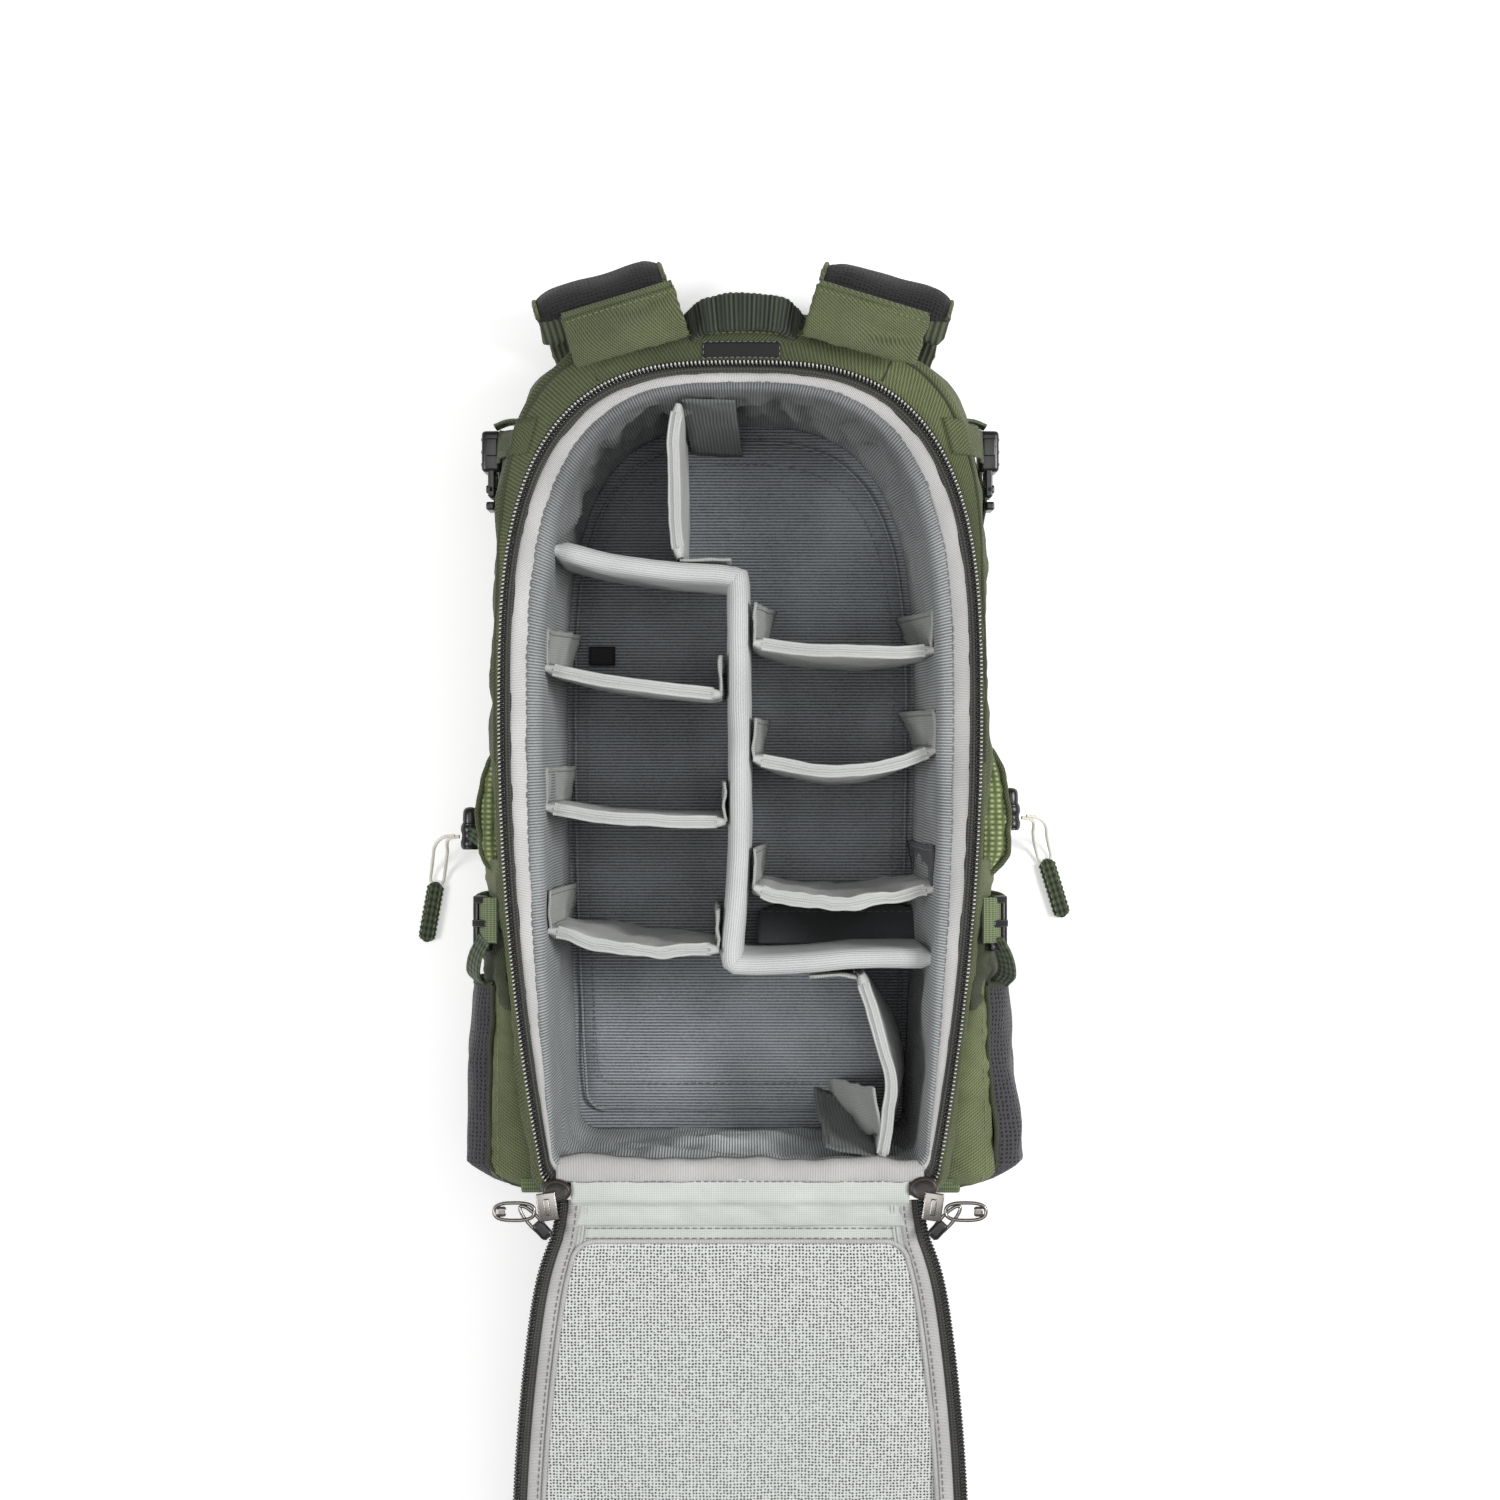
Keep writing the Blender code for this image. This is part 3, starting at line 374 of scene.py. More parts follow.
def grid_piece(name, rows, surface, closed=False, wrapped=False, caps=False, plan=None, **rest):
    """A cloth surface through rows of points, with its weave laid in metres along the rows and across them.

    With caps, closed rows end in a fan of triangles, at both ends or the last one, and a tube in a face."""
    rows = np.asarray(rows, float)
    count_rows, count, _ = rows.shape
    along = np.linalg.norm(np.diff(rows, axis=1, append=rows[:, :1]), axis=2).mean(0)
    across = np.linalg.norm(np.diff(rows, axis=0, append=rows[:1]), axis=2).mean(1)
    u = np.concatenate([[0.0], np.cumsum(along)])
    v = np.concatenate([[0.0], np.cumsum(across)])
    faces = []
    uvs = []
    for row in range(count_rows if wrapped else count_rows - 1):
        after = (row + 1) % count_rows
        for column in range(count if closed else count - 1):
            beside = (column + 1) % count
            faces.append((row * count + column, row * count + beside, after * count + beside,
                          after * count + column))
            uvs += [(u[column], v[row]), (u[column + 1], v[row]), (u[column + 1], v[row + 1]),
                    (u[column], v[row + 1])]
    points = list(rows.reshape(-1, 3))
    if caps and wrapped:
        for column in (0, count - 1):
            ring = [row * count + column for row in range(count_rows)]
            faces.append(ring if column else ring[::-1])
            uvs += [(u[column], v[row]) for row in range(count_rows)]
    if caps and closed:
        for row in (0, count_rows - 1) if caps is True else (count_rows - 1,):
            middle = len(points)
            points.append(rows[row].mean(0))
            for column in range(count):
                pair = (row * count + column, row * count + (column + 1) % count)
                faces.append((pair[0], pair[1], middle) if row else (pair[1], pair[0], middle))
                uvs += [(u[column], v[row])] * 3
    if plan is not None:
        plan = np.asarray(plan, float)
        flat = list(plan.reshape(-1, 3)[:, :2]) + [plan[-1].mean(0)[:2]] * (len(points) - count_rows * count)
        uvs = [flat[index] for face in faces for index in face]
    return mesh_piece(name, points, faces, surface, uvs=uvs, **rest)


def cut_from(rows):
    """Measures a sheet's flat size, the middle length of its rows and of its columns, and keeps neither."""
    rows = np.asarray(rows, float)
    width = np.median(np.linalg.norm(np.diff(rows, axis=1), axis=2).sum(1))
    length = np.median(np.linalg.norm(np.diff(rows, axis=0), axis=2).sum(0))


def resample(points, count, closed=False):
    """The same line in count even steps, or that many points round a closed one."""
    points = np.asarray(points, float)
    if closed:
        points = np.vstack([points, points[:1]])
    run = np.concatenate([[0.0], np.cumsum(np.linalg.norm(np.diff(points, axis=0), axis=1))])
    steps = np.linspace(0.0, run[-1], count + 1 if closed else count)
    if closed:
        steps = steps[:-1]
    return np.stack([np.interp(steps, run, points[:, axis]) for axis in range(points.shape[1])], axis=1)


def smooth_path(points, spacing, closed=False):
    """A Catmull-Rom curve through the points, in even steps of about the spacing."""
    points = [np.asarray(point, float) for point in points]
    ends = [points[-1], *points, points[0], points[1]] if closed else [
        2 * points[0] - points[1], *points, 2 * points[-1] - points[-2]]
    fine = []
    for before, start, stop, after in zip(ends, ends[1:], ends[2:], ends[3:]):
        for t in np.linspace(0.0, 1.0, 24, endpoint=False):
            bend = 2 * before - 5 * start + 4 * stop - after
            twist = 3 * start - before - 3 * stop + after
            fine.append(0.5 * (2 * start + (stop - before) * t + bend * t ** 2 + twist * t ** 3))
    if not closed:
        fine.append(points[-1])
    length = np.linalg.norm(np.diff(fine, axis=0), axis=1).sum()
    return resample(fine, max(3, int(round(length / spacing)) + 1), closed)


def directions(path, closed=False):
    """Unit directions along a path, one for each point."""
    ahead = np.roll(path, -1, axis=0) - np.roll(path, 1, axis=0)
    if not closed:
        ahead[0] = path[1] - path[0]
        ahead[-1] = path[-1] - path[-2]
    return ahead / np.linalg.norm(ahead, axis=1)[:, None]


def unit(vectors):
    return vectors / np.linalg.norm(vectors, axis=-1)[..., None]


def sweep(name, path, profile, surface, across=None, closed=False, scale=None, wave=None, **rest):
    """A cross-section, as (sideways, upwards) pairs, carried along a path."""
    path = np.asarray(path, float)
    ahead = directions(path, closed)
    if across is None:
        side = unit(np.cross(ahead, (0.0, 0.0, 1.0)))
    else:
        side = np.broadcast_to(np.asarray(across, float), path.shape)
    top = unit(np.cross(side, ahead))
    side = unit(np.cross(ahead, top))
    scale = np.ones(len(path)) if scale is None else np.asarray(scale)
    rows = []
    for sideways, upwards in profile:
        rows.append(path + side * (sideways * scale)[:, None] + top * (upwards * scale)[:, None])
    rows = np.array(rows)
    if wave is not None:
        rows = wave(rows)
    return grid_piece(name, rows, surface, closed=closed, wrapped=True, caps=not closed, **rest)


def circle(radius, steps=10):
    """A round cross-section."""
    return [(radius * math.cos(2 * math.pi * i / steps), radius * math.sin(2 * math.pi * i / steps))
            for i in range(steps)]


def flat_section(width, thickness, steps=8, crown=0.0):
    """A flat strap's cross-section with rounded edges, its middle thicker by the crown."""
    half = width / 2 - thickness / 2
    top = [(x, thickness / 2 + crown * (1 - (x / half) ** 2)) for x in np.linspace(-half, half, steps)]
    right = [(half + thickness / 2 * math.sin(a), thickness / 2 * math.cos(a)) for a in (0.8, 1.57, 2.35)]
    return top + right + [(x, -y) for x, y in reversed(top)] + [(-x, -y) for x, y in right]


def field(points, size, amount, seed, stretch=(1.0, 1.0, 1.0)):
    """Smooth noise at each point, from about minus to plus the amount."""
    flat = np.asarray(points, float).reshape(-1, 3) / (np.asarray(stretch) * size) + seed * 7.3
    values = np.array([noise.noise(Vector(point)) for point in flat])
    return (values * 2.0 * amount).reshape(np.asarray(points).shape[:-1])


def crumple(rows, size, amount, seed, direction=(0, 0, 1), stretch=(1.0, 1.0, 1.0), weight=1.0):
    """Folds: two sizes of noise pushed along a direction."""
    push = field(rows, size, amount, seed, stretch) + field(rows, size * 0.4, amount * 0.4, seed + 3, stretch)
    return rows + (push * weight)[..., None] * np.asarray(direction, float)


def capsule(length, radius, steps=6, rings=5):
    """Points and faces of a small rounded rod along X."""
    points = []
    for ring in range(rings + 2):
        angle = math.pi * ring / (rings + 1)
        shift = -math.cos(angle) * radius + (length / 2 - radius) * (1 if ring * 2 > rings + 1 else -1)
        size = max(math.sin(angle), 0.02) * radius
        for step in range(steps):
            turn = 2 * math.pi * step / steps
            points.append((shift, size * math.cos(turn), size * math.sin(turn)))
    faces = []
    for ring in range(rings + 1):
        for step in range(steps):
            beside = (step + 1) % steps
            faces.append((ring * steps + step, (ring + 1) * steps + step, (ring + 1) * steps + beside,
                          ring * steps + beside))
    faces.append(tuple(range(steps)))
    faces.append(tuple(reversed(range((rings + 1) * steps, (rings + 2) * steps))))
    return np.array(points), faces


def scatter(name, template, places, forward, up, surface, **rest):
    """Copies of one small shape, each turned to its own direction, as one piece."""
    shape, faces = template
    up = np.broadcast_to(np.asarray(up, float), places.shape)
    side = unit(np.cross(up, forward))
    top = np.cross(forward, side)
    points = (places[:, None] + shape[None, :, :1] * forward[:, None] + shape[None, :, 1:2] * side[:, None]
              + shape[None, :, 2:] * top[:, None]).reshape(-1, 3)
    every = []
    for copy in range(len(places)):
        every += [tuple(index + copy * len(shape) for index in face) for face in faces]
    return mesh_piece(name, points, every, surface, **rest)


def stitches(name, path, surface=THREAD, pitch=0.0042, closed=False, up=(0, 0, 1), radius=0.00035, **rest):
    """A row of thread stitches that lie along a path."""
    length = np.linalg.norm(np.diff(path, axis=0), axis=1).sum()
    places = resample(path, max(2, int(length / pitch)), closed)
    ahead = directions(places, closed)
    return scatter(name, capsule(pitch * 0.68, radius), places, ahead, up, surface, **rest)


def zip_teeth(name, path, width, surface=TEETH, pitch=0.0022, slant=0.25, thin=1.0, **rest):
    """One bead of coil for each pitch of the path, lying across it."""
    length = np.linalg.norm(np.diff(path, axis=0), axis=1).sum()
    places = resample(path, int(length / pitch))
    ahead = directions(places)
    across = unit(np.cross(ahead, (0, 0, 1)) + ahead * slant)
    return scatter(name, capsule(width, pitch * 0.38 * thin, 8, 5), places, across, (0, 0, 1), surface,
                   **rest)


def pipe(name, path, radius, surface, closed=False, **rest):
    """A round cord or piping along a path."""
    return sweep(name, path, circle(radius, 8), surface, closed=closed, **rest)


def block(name, size, place, surface, bevel=0.001, turn=None, **rest):
    """A moulded block with rounded edges."""
    bm = bmesh.new()
    bmesh.ops.create_cube(bm, size=1.0)
    bmesh.ops.scale(bm, vec=size, verts=bm.verts)
    bmesh.ops.bevel(bm, geom=bm.edges, offset=bevel, segments=3, profile=0.6, affect="EDGES")
    bm.transform(Matrix.Translation(place) @ (turn or Matrix.Identity(4)))
    points = [tuple(v.co) for v in bm.verts]
    faces = [[v.index for v in face.verts] for face in bm.faces]
    bm.free()
    return mesh_piece(name, points, faces, surface, **rest)


def join(name, pieces):
    """Several pieces of one finish as one piece, under one name."""
    keep = pieces[0]
    bm = bmesh.new()
    for piece in pieces:
        bm.from_mesh(piece.data)
    bm.to_mesh(keep.data)
    bm.free()
    for piece in pieces[1:]:
        bpy.data.objects.remove(piece)
    keep.name = name
    return keep


def middle_and_size(node):
    """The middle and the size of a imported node's box."""
    low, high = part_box(node)
    return (low + high) / 2, high - low


# ---------------------------------------------------------------- outlines


# How many points an outline has along each part of its right half.
ARCH_POINTS = 78
SIDE_POINTS = 66
CORNER_POINTS = 8
BASE_POINTS = 30


def outline(half, top, bottom, taper, power):
    """The bag's plan, clockwise from the middle of its top, in even steps along each of its parts."""
    angles = np.linspace(0.0, math.pi / 2, 240)
    arch = np.stack([half * np.sin(angles) ** (2 / power),
                     WIDEST_Y + (top - WIDEST_Y) * np.abs(np.cos(angles)) ** (2 / power)], axis=1)
    heights = np.linspace(WIDEST_Y, bottom + CORNER, 120)
    side = np.stack([half - taper * (heights - WIDEST_Y) ** 2, heights], axis=1)
    turn = np.linspace(0.0, math.pi / 2, 16)
    corner = np.stack([side[-1, 0] - CORNER + CORNER * np.cos(turn),
                       bottom + CORNER - CORNER * np.sin(turn)], axis=1)
    base = np.array([[side[-1, 0] - CORNER, bottom], [0.0, bottom]])
    right = np.concatenate([resample(arch, ARCH_POINTS), resample(side, SIDE_POINTS)[1:],
                            resample(corner, CORNER_POINTS)[1:], resample(base, BASE_POINTS)[1:]])
    left = right[1:-1][::-1] * (-1.0, 1.0)
    return np.concatenate([right, left])


CORNER_INDEX = ARCH_POINTS + SIDE_POINTS + CORNER_POINTS - 3
SIDE_END = ARCH_POINTS + SIDE_POINTS - 4
COUNT = len(outline(1.0, 1.0, -1.0, 0.0, 2.0))


def rim(offset):
    """The opening's outer edge, where the zip lies, moved outwards by the offset."""
    return outline(RIM_HALF + offset, RIM_TOP + offset, RIM_BOTTOM - offset, OUTER_TAPER, RIM_POWER)


def shell(offset):
    """The bag's widest outline, moved outwards by the offset."""
    return outline(SHELL_HALF + offset, SHELL_TOP + offset, SHELL_BOTTOM - offset, OUTER_TAPER, SHELL_POWER)


def opening(offset):
    """The compartment's inner edge, moved outwards by the offset."""
    return outline(OPENING_HALF + offset, OPENING_TOP + offset, OPENING_BOTTOM - offset, INNER_TAPER,
                   RIM_POWER)


def between(first, second, share):
    """The outline that lies a share of the way from the first one to the second."""
    return first * (1.0 - share) + second * share


def at_height(ring, z):
    """A flat outline as points in space at that height, or at one height for each point."""
    return np.column_stack([ring, np.broadcast_to(z, len(ring))])


def outward(ring):
    """Level unit directions that point out of a clockwise outline."""
    ahead = directions(np.column_stack([ring, np.zeros(len(ring))]), True)
    return np.stack([-ahead[:, 1], ahead[:, 0], ahead[:, 2]], axis=1)


def arch_part(ring):
    """1 round the arched top of an outline, falling to 0 down its sides."""
    return np.clip((ring[:, 1] - 0.09) / 0.05, 0.0, 1.0)


def base_part(ring):
    """1 along the base of an outline, falling to 0 up its sides."""
    return np.clip((RIM_BOTTOM + 0.055 - ring[:, 1]) / 0.045, 0.0, 1.0)


# ---------------------------------------------------------------- shell

# Points of an outline that the yoke's seam takes up on each side of the middle, and rows down the outer wall.
YOKE_REACH = 84
WALL_STEPS = 20


def shell_edge(offset):
    """The shell's visible edge: full round the arch, close under the zip down the sides and the base."""
    ring = shell(offset)
    share = np.clip((ring[:, 1] - 0.060) / 0.080, 0.0, 1.0)
    return between(rim(0.0028 + offset), ring, (share * share * (3 - 2 * share))[:, None])


def build_shell():
    """The bag's outer cloth from the zip over the edge, down the wall and under the front, and its seams."""
    inner = rim(0.0010)
    outer = shell_edge(0.0)
    normal = outward(outer)
    rows = []
    for share, z in [(0.0, 0.1508), (0.06, 0.1524), (0.2, 0.1531), (0.4, 0.1533), (0.6, 0.1532),
                     (0.76, 0.1528), (0.88, 0.1521), (0.96, 0.1509), (1.0, 0.1494)]:
        rows.append(at_height(between(inner, outer, share), RIM_HIGH + z - 0.1525))
    for step in range(WALL_STEPS + 1):
        share = step / WALL_STEPS
        z = 0.1470 - share * (0.1470 - 0.0330)
        rows.append(at_height(outer, z) + normal * (0.0004 + 0.0016 * math.sin(math.pi * share)))
    for offset, z in [(0.0002, 0.0290), (-0.0015, 0.0258), (-0.0050, 0.0236), (-0.0110, 0.0226)]:
        rows.append(at_height(shell(offset), z))
    for share in (0.82, 0.62, 0.42, 0.22):
        rows.append(at_height(shell(-0.011) * share, 0.0224))
    rows = np.array(rows)
    wall_rows = slice(8, 8 + WALL_STEPS)
    away = np.broadcast_to(normal, rows.shape)
    rows[wall_rows] = crumple(rows[wall_rows], 0.045, 0.0022, 1, away[wall_rows], stretch=(1, 1, 0.6))
    rows[wall_rows] = crumple(rows[wall_rows], 0.014, 0.0007, 2, away[wall_rows], stretch=(1, 1, 2.5))
    rows[2:7] = crumple(rows[2:7], 0.022, 0.0006, 4, (0, 0, 1))
    grid_piece("bag_shell", rows, OLIVE, closed=True, caps=False, thickness=0.0012,
               replaces=["side_wall_shell", "top_yoke", "front_panel"])
    arch = np.r_[COUNT - YOKE_REACH:COUNT, 0:YOKE_REACH + 1]
    seam = at_height(between(inner, outer, 0.80), 0.1532)[arch]
    pipe("yoke_seam_piping", seam, 0.0009, OLIVE_DARK)
    for index in range(-3, 4):
        column = (index * 22) % COUNT
        line = np.array([(*between(inner, outer, share)[column], 0.1536)
                         for share in (0.10, 0.40, 0.70, 0.92)])
        if index % 2:
            pipe(f"yoke_panel_seam_{index % 7}", smooth_path(line, 0.0015), 0.0006, OLIVE_DARK)
    edge = shell(0.0016)
    pipe("front_edge_piping", at_height(edge, 0.0300), 0.0016, OLIVE_DARK, closed=True)
    for z in (0.0560, 0.1180):
        band = at_height(shell_edge(0.0024), z)
        pipe(f"wall_seam_{round(z * 1000)}", band, 0.0008, OLIVE_DARK, closed=True)


def pocket_pad(node, crown):
    """A stuffed flat pocket that fills its node's box, with rounded sides."""
    low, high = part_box(node)
    middle = (low + high) / 2
    half = (high - low) / 2
    angles = np.linspace(0.0, 2 * math.pi, 120, endpoint=False)
    power = 2 / 5.0
    plan = np.stack([np.sign(np.sin(angles)) * np.abs(np.sin(angles)) ** power * half.x,
                     np.sign(np.cos(angles)) * np.abs(np.cos(angles)) ** power * half.y], axis=1)
    rows = []
    for share, level in [(0.30, 1.0), (0.60, 1.0), (0.85, 0.97), (0.95, 0.86), (0.99, 0.66), (1.0, 0.45),
                         (0.985, 0.24), (0.95, 0.10), (0.88, 0.03), (0.65, 0.0), (0.35, 0.0)]:
        z = low.z + level * (high.z - low.z)
        rows.append(at_height(plan * share + (middle.x, middle.y), z))
    rows = np.array(rows)
    rows[3:8] = crumple(rows[3:8], 0.03, crown, 5, (0, 0, 1))
    grid_piece(node + "_pad", rows, OLIVE, closed=True, caps=True, replaces=[node])
    level = low.z + 0.55 * (high.z - low.z)
    path = at_height(plan * 1.003 + (middle.x, middle.y), level)
    pipe(node + "_pad_piping", path, 0.0011, OLIVE_DARK, closed=True)


# ---------------------------------------------------------------- rim

# How far inside the zip's line the rolled binding starts.
BINDING_SEAT = -0.0058


def build_rim():
    """The rolled binding round the opening, the zip's tape and its chain of coil."""
    outer = rim(BINDING_SEAT)
    inner = opening(0.0)
    rows = []
    for share, z in [(0.0, 0.1512), (0.03, 0.1524), (0.10, 0.1531), (0.24, 0.1536), (0.38, 0.1535),
                     (0.50, 0.1530), (0.57, 0.1524)]:
        rows.append(at_height(between(outer, inner, share), z))
    rows = np.array(rows)
    rows[1:] = crumple(rows[1:], 0.016, 0.0006, 11, (0, 0, 1))
    grid_piece("rim_binding_cloth", rows, BINDING, closed=True, thickness=0.0008, replaces=["rim_binding"])
    seam = at_height(between(outer, inner, 0.55), 0.1530)
    seam = crumple(seam[None], 0.012, 0.0005, 14, (0.7, 0.7, 0))[0]
    stitches("binding_stitches", seam, GREY_THREAD, pitch=0.0050, closed=True, slot="binding", radius=0.00055)
    rows = [at_height(rim(0.0014), 0.1507), at_height(rim(-0.0015), 0.1514), at_height(rim(-0.0040), 0.1520),
            at_height(rim(-0.0066), 0.1524)]
    grid_piece("body_tape_cloth", rows, TAPE, closed=True, thickness=0.0006, replaces=["body_zip_tape"])
    corner = CORNER_INDEX - 3

    def run(offset, z):
        chain = at_height(rim(offset), z)
        return np.concatenate([chain[COUNT - corner:], chain[:corner + 1]])

    zip_teeth("body_coil", run(-0.0004, 0.1524), 0.0044, replaces=["body_zip_teeth"])
    # Light-grey caps on top of the coil: painted highlights.
    zip_teeth("body_coil_painted_highlights", run(0.0004, 0.1531), 0.0017, GLINT, thin=0.62)
    pipe("body_coil_cord", run(-0.0034, 0.1526), 0.0006, TAPE)


# ---------------------------------------------------------------- padded interior

# How far the lining of the base leans into the bag at the floor.
BASE_SHIFT = 0.0150


def wall_rings(levels):
    """The lining's rings from the binding's seam over the rolled edge and down to the floor."""
    rings = [at_height(between(rim(BINDING_SEAT), opening(0.0), share), z)
             for share, z in [(0.53, 0.1516), (0.58, 0.1527), (0.70, 0.1533), (0.84, 0.1531), (0.95, 0.1520)]]
    ring = opening(0.0)
    base = base_part(ring)[:, None]
    for step in range(levels + 1):
        share = step / levels
        z = 0.1500 - share * (0.1500 - FLOOR_HIGH)
        upright = opening(-0.0004 - 0.0070 * share)
        lifted = upright + (0.0, 1.0) * base * (BASE_SHIFT * share ** 0.8)
        rings.append(at_height(lifted, z))
    return np.array(rings)


def build_lining():
    """The ribbed lining of the walls, gathered in folds, and of the floor."""
    rows = wall_rings(levels=30)
    ring = opening(0.0)
    normal = np.broadcast_to(outward(ring), rows.shape)
    height = np.clip((0.1540 - rows[:, :, 2]) / (0.1540 - FLOOR_HIGH), 0.0, 1.0)
    fold = np.sin(np.pi * height)
    arch = np.broadcast_to(arch_part(ring), rows.shape[:2])
    base = np.broadcast_to(base_part(ring), rows.shape[:2])
    rows[..., 1] -= BASE_SHIFT * base * height
    rows = crumple(rows, 0.030, 0.0012, 21, normal, stretch=(1, 1, 1.5), weight=0.15 + fold)
    rows = crumple(rows, 0.011, 0.0034, 22, normal, stretch=(1, 1, 2.6), weight=arch * fold)
    rows = crumple(rows, 0.026, 0.0036, 24, (0, -1, 0.25), stretch=(1.6, 1, 0.8), weight=base * fold)
    rows = crumple(rows, 0.010, 0.0016, 25, (0, -1, 0.25), stretch=(2.0, 1, 0.8), weight=base * fold)
    grid_piece("wall_lining", rows, WALL, closed=True, thickness=0.0012,
               replaces=["foam_left", "foam_right", "foam_top", "foam_bottom"])
    edge = rows[-1][:, :2]
    rings = []
    for share in (1.0, 0.985, 0.965, 0.945, 0.93, 0.85, 0.7, 0.55, 0.4, 0.25, 0.1):
        sink = 0.0012 if 0.94 <= share <= 0.97 else 0.0
        rings.append(at_height(edge * share, FLOOR_HIGH - 0.0002 - sink + 0.0010 * (share < 0.94)))
    floor = crumple(np.array(rings), 0.05, 0.0010, 23, (0, 0, 1))
    grid_piece("floor_lining", floor, SLATE, closed=True, caps="last", replaces=["foam_floor"])
    stitches("floor_stitches", at_height(edge * 0.88, FLOOR_HIGH + 0.0018), GREY_THREAD, closed=True,
             slot="slate_lining")
    pipe("floor_seam", at_height(edge * 0.95, FLOOR_HIGH + 0.0008), 0.0009, SLATE, closed=True)


def wall_pad(node, surface, points, thickness, seed, lean=0.0, sag=0.0, folds=0.0003, fold_size=0.018):
    """A padded divider that stands on the floor along the points, with a rounded top and soft sides."""
    path = smooth_path(points, 0.0025)
    count = len(path)
    flat = np.column_stack([path, np.zeros(count)])
    ahead = directions(flat)
    side = np.stack([-ahead[:, 1], ahead[:, 0], ahead[:, 2]], axis=1)
    t = np.linspace(0.0, 1.0, count)
    ends = np.minimum(1.0, np.sqrt(np.clip(np.minimum(t, 1.0 - t) * count * 0.0025 / 0.004, 0.30, 1.0)))
    half = thickness / 2
    low = FLOOR_HIGH + 0.0006
    top = DIVIDER_TOP - sag * np.sin(np.pi * t)
    section = []
    for rise in (0.0, 0.04, 0.12, 0.25, 0.4, 0.55, 0.7, 0.82, 0.91):
        section.append((-1.0 - 0.16 * math.sin(math.pi * rise), rise, 0.0))
    for step in range(1, 6):
        angle = math.pi * step / 6
        section.append((-math.cos(angle) * 1.02, 1.0, math.sin(angle)))
    for rise in (0.91, 0.82, 0.7, 0.55, 0.4, 0.25, 0.12, 0.04, 0.0):
        section.append((1.0 + 0.16 * math.sin(math.pi * rise), rise, 0.0))
    rows = []
    for across, rise, cap in section:
        height = low + (top - half - low) * rise + cap * half
        sideways = across * half * ends + lean * (1.0 - rise) * np.sin(np.pi * t)
        rows.append(flat * (1, 1, 0) + side * sideways[:, None] + np.stack([0 * t, 0 * t, height], axis=1))
    rows = np.array(rows)
    rows = crumple(rows, fold_size, folds, seed, np.broadcast_to(side, rows.shape), stretch=(1, 1, 0.8))
    rows[9:14] = crumple(rows[9:14], fold_size, folds * 0.5, seed + 1, (0, 0, 1))
    piece = grid_piece(node + "_pad", rows, surface, wrapped=True, caps=True, body=node, replaces=[node])
    if surface is PALE:
        for index, row in enumerate((9, 11, 13)):
            line = rows[row][2:-2] + (0, 0, 0.0001)
            pipe(f"{node}_top_piping_{index}", line, 0.0008, PALE, body=node)


def hook_tab(name, body, start, wall_side, reach, twist, cloth, length=0.022):
    """A sewn cloth tab from a divider's end along the wall, which stands off the wall below its top."""
    x, y = start
    rows = []
    for step in range(15):
        share = step / 14
        z = DIVIDER_TOP - 0.0015 - share * (DIVIDER_TOP - FLOOR_HIGH - 0.003)
        row = []
        for part in range(9):
            t = part / 8
            away = reach * share ** 1.3 * (1.0 - twist + twist * t)
            row.append((x - wall_side * away, y + t * length, z))
        rows.append(row)
    rows = crumple(np.array(rows), 0.012, 0.0009, len(name), (1, 0.3, 0))
    grid_piece(name, rows, cloth, body=body, thickness=0.0014)
    hem = np.concatenate([rows[1:-1, 1], rows[-2, 1:-1], rows[1:-1, -2][::-1]])
    stitches(name + "_hem", hem + (wall_side * -0.0010, 0, 0), GREY_THREAD, pitch=0.0036, up=(1, 0, 0),
             body=body, slot="grey_lining")


# Each padded divider's plan from end to end, and how it stands: its lean at the floor, its sag and its folds.
MAIN_DIVIDER = [(-0.1018, 0.1100), (-0.0725, 0.1031), (-0.0363, 0.0981), (-0.0055, 0.0955), (-0.0012, 0.0900),
                (-0.0006, 0.0274), (0, -0.0219), (-0.0012, -0.0713), (-0.0046, -0.1130), (0.0010, -0.1183),
                (0.0290, -0.1179), (0.0635, -0.1151), (0.1050, -0.1146)]
TOP_DIVIDER = [(-0.0330, 0.1056), (-0.0352, 0.1206), (-0.0363, 0.1442), (-0.0363, 0.1754), (-0.0335, 0.1900)]
BOTTOM_DIVIDER = [(0.0772, -0.2265), (0.0816, -0.1974), (0.0822, -0.1798), (0.0756, -0.1535),
                  (0.0663, -0.1234)]
CROSS_DIVIDERS = {
    "divider_left_1": ([(-0.1073, 0.0450), (-0.0768, 0.0384), (-0.0439, 0.0340), (-0.0098, 0.0302)],
                       -0.002, 0.0, 0.0002),
    "divider_left_2": ([(-0.1071, -0.0313), (-0.0768, -0.0367), (-0.0439, -0.0389), (-0.0078, -0.0395)],
                       0.001, 0.0, 0.0003),
    "divider_left_3": ([(-0.1054, -0.0992), (-0.0768, -0.1064), (-0.0494, -0.1107), (-0.0115, -0.1096)],
                       0.005, 0.004, 0.0011),
    "divider_right_1": ([(0.0072, 0.0590), (0.0273, 0.0559), (0.0547, 0.0543), (0.0876, 0.0537),
                         (0.1063, 0.0548)],
                        -0.005, 0.0, 0.0003),
    "divider_right_2": ([(0.0072, -0.0045), (0.0273, -0.0088), (0.0547, -0.0115), (0.0822, -0.0082),
                         (0.1073, 0)],
                        -0.006, 0.001, 0.0004),
    "divider_right_3": ([(0.0072, -0.0760), (0.0290, -0.0817), (0.0547, -0.0844), (0.0805, -0.0817),
                         (0.1064, -0.0746)], 0.005, 0.004, 0.0012),
}
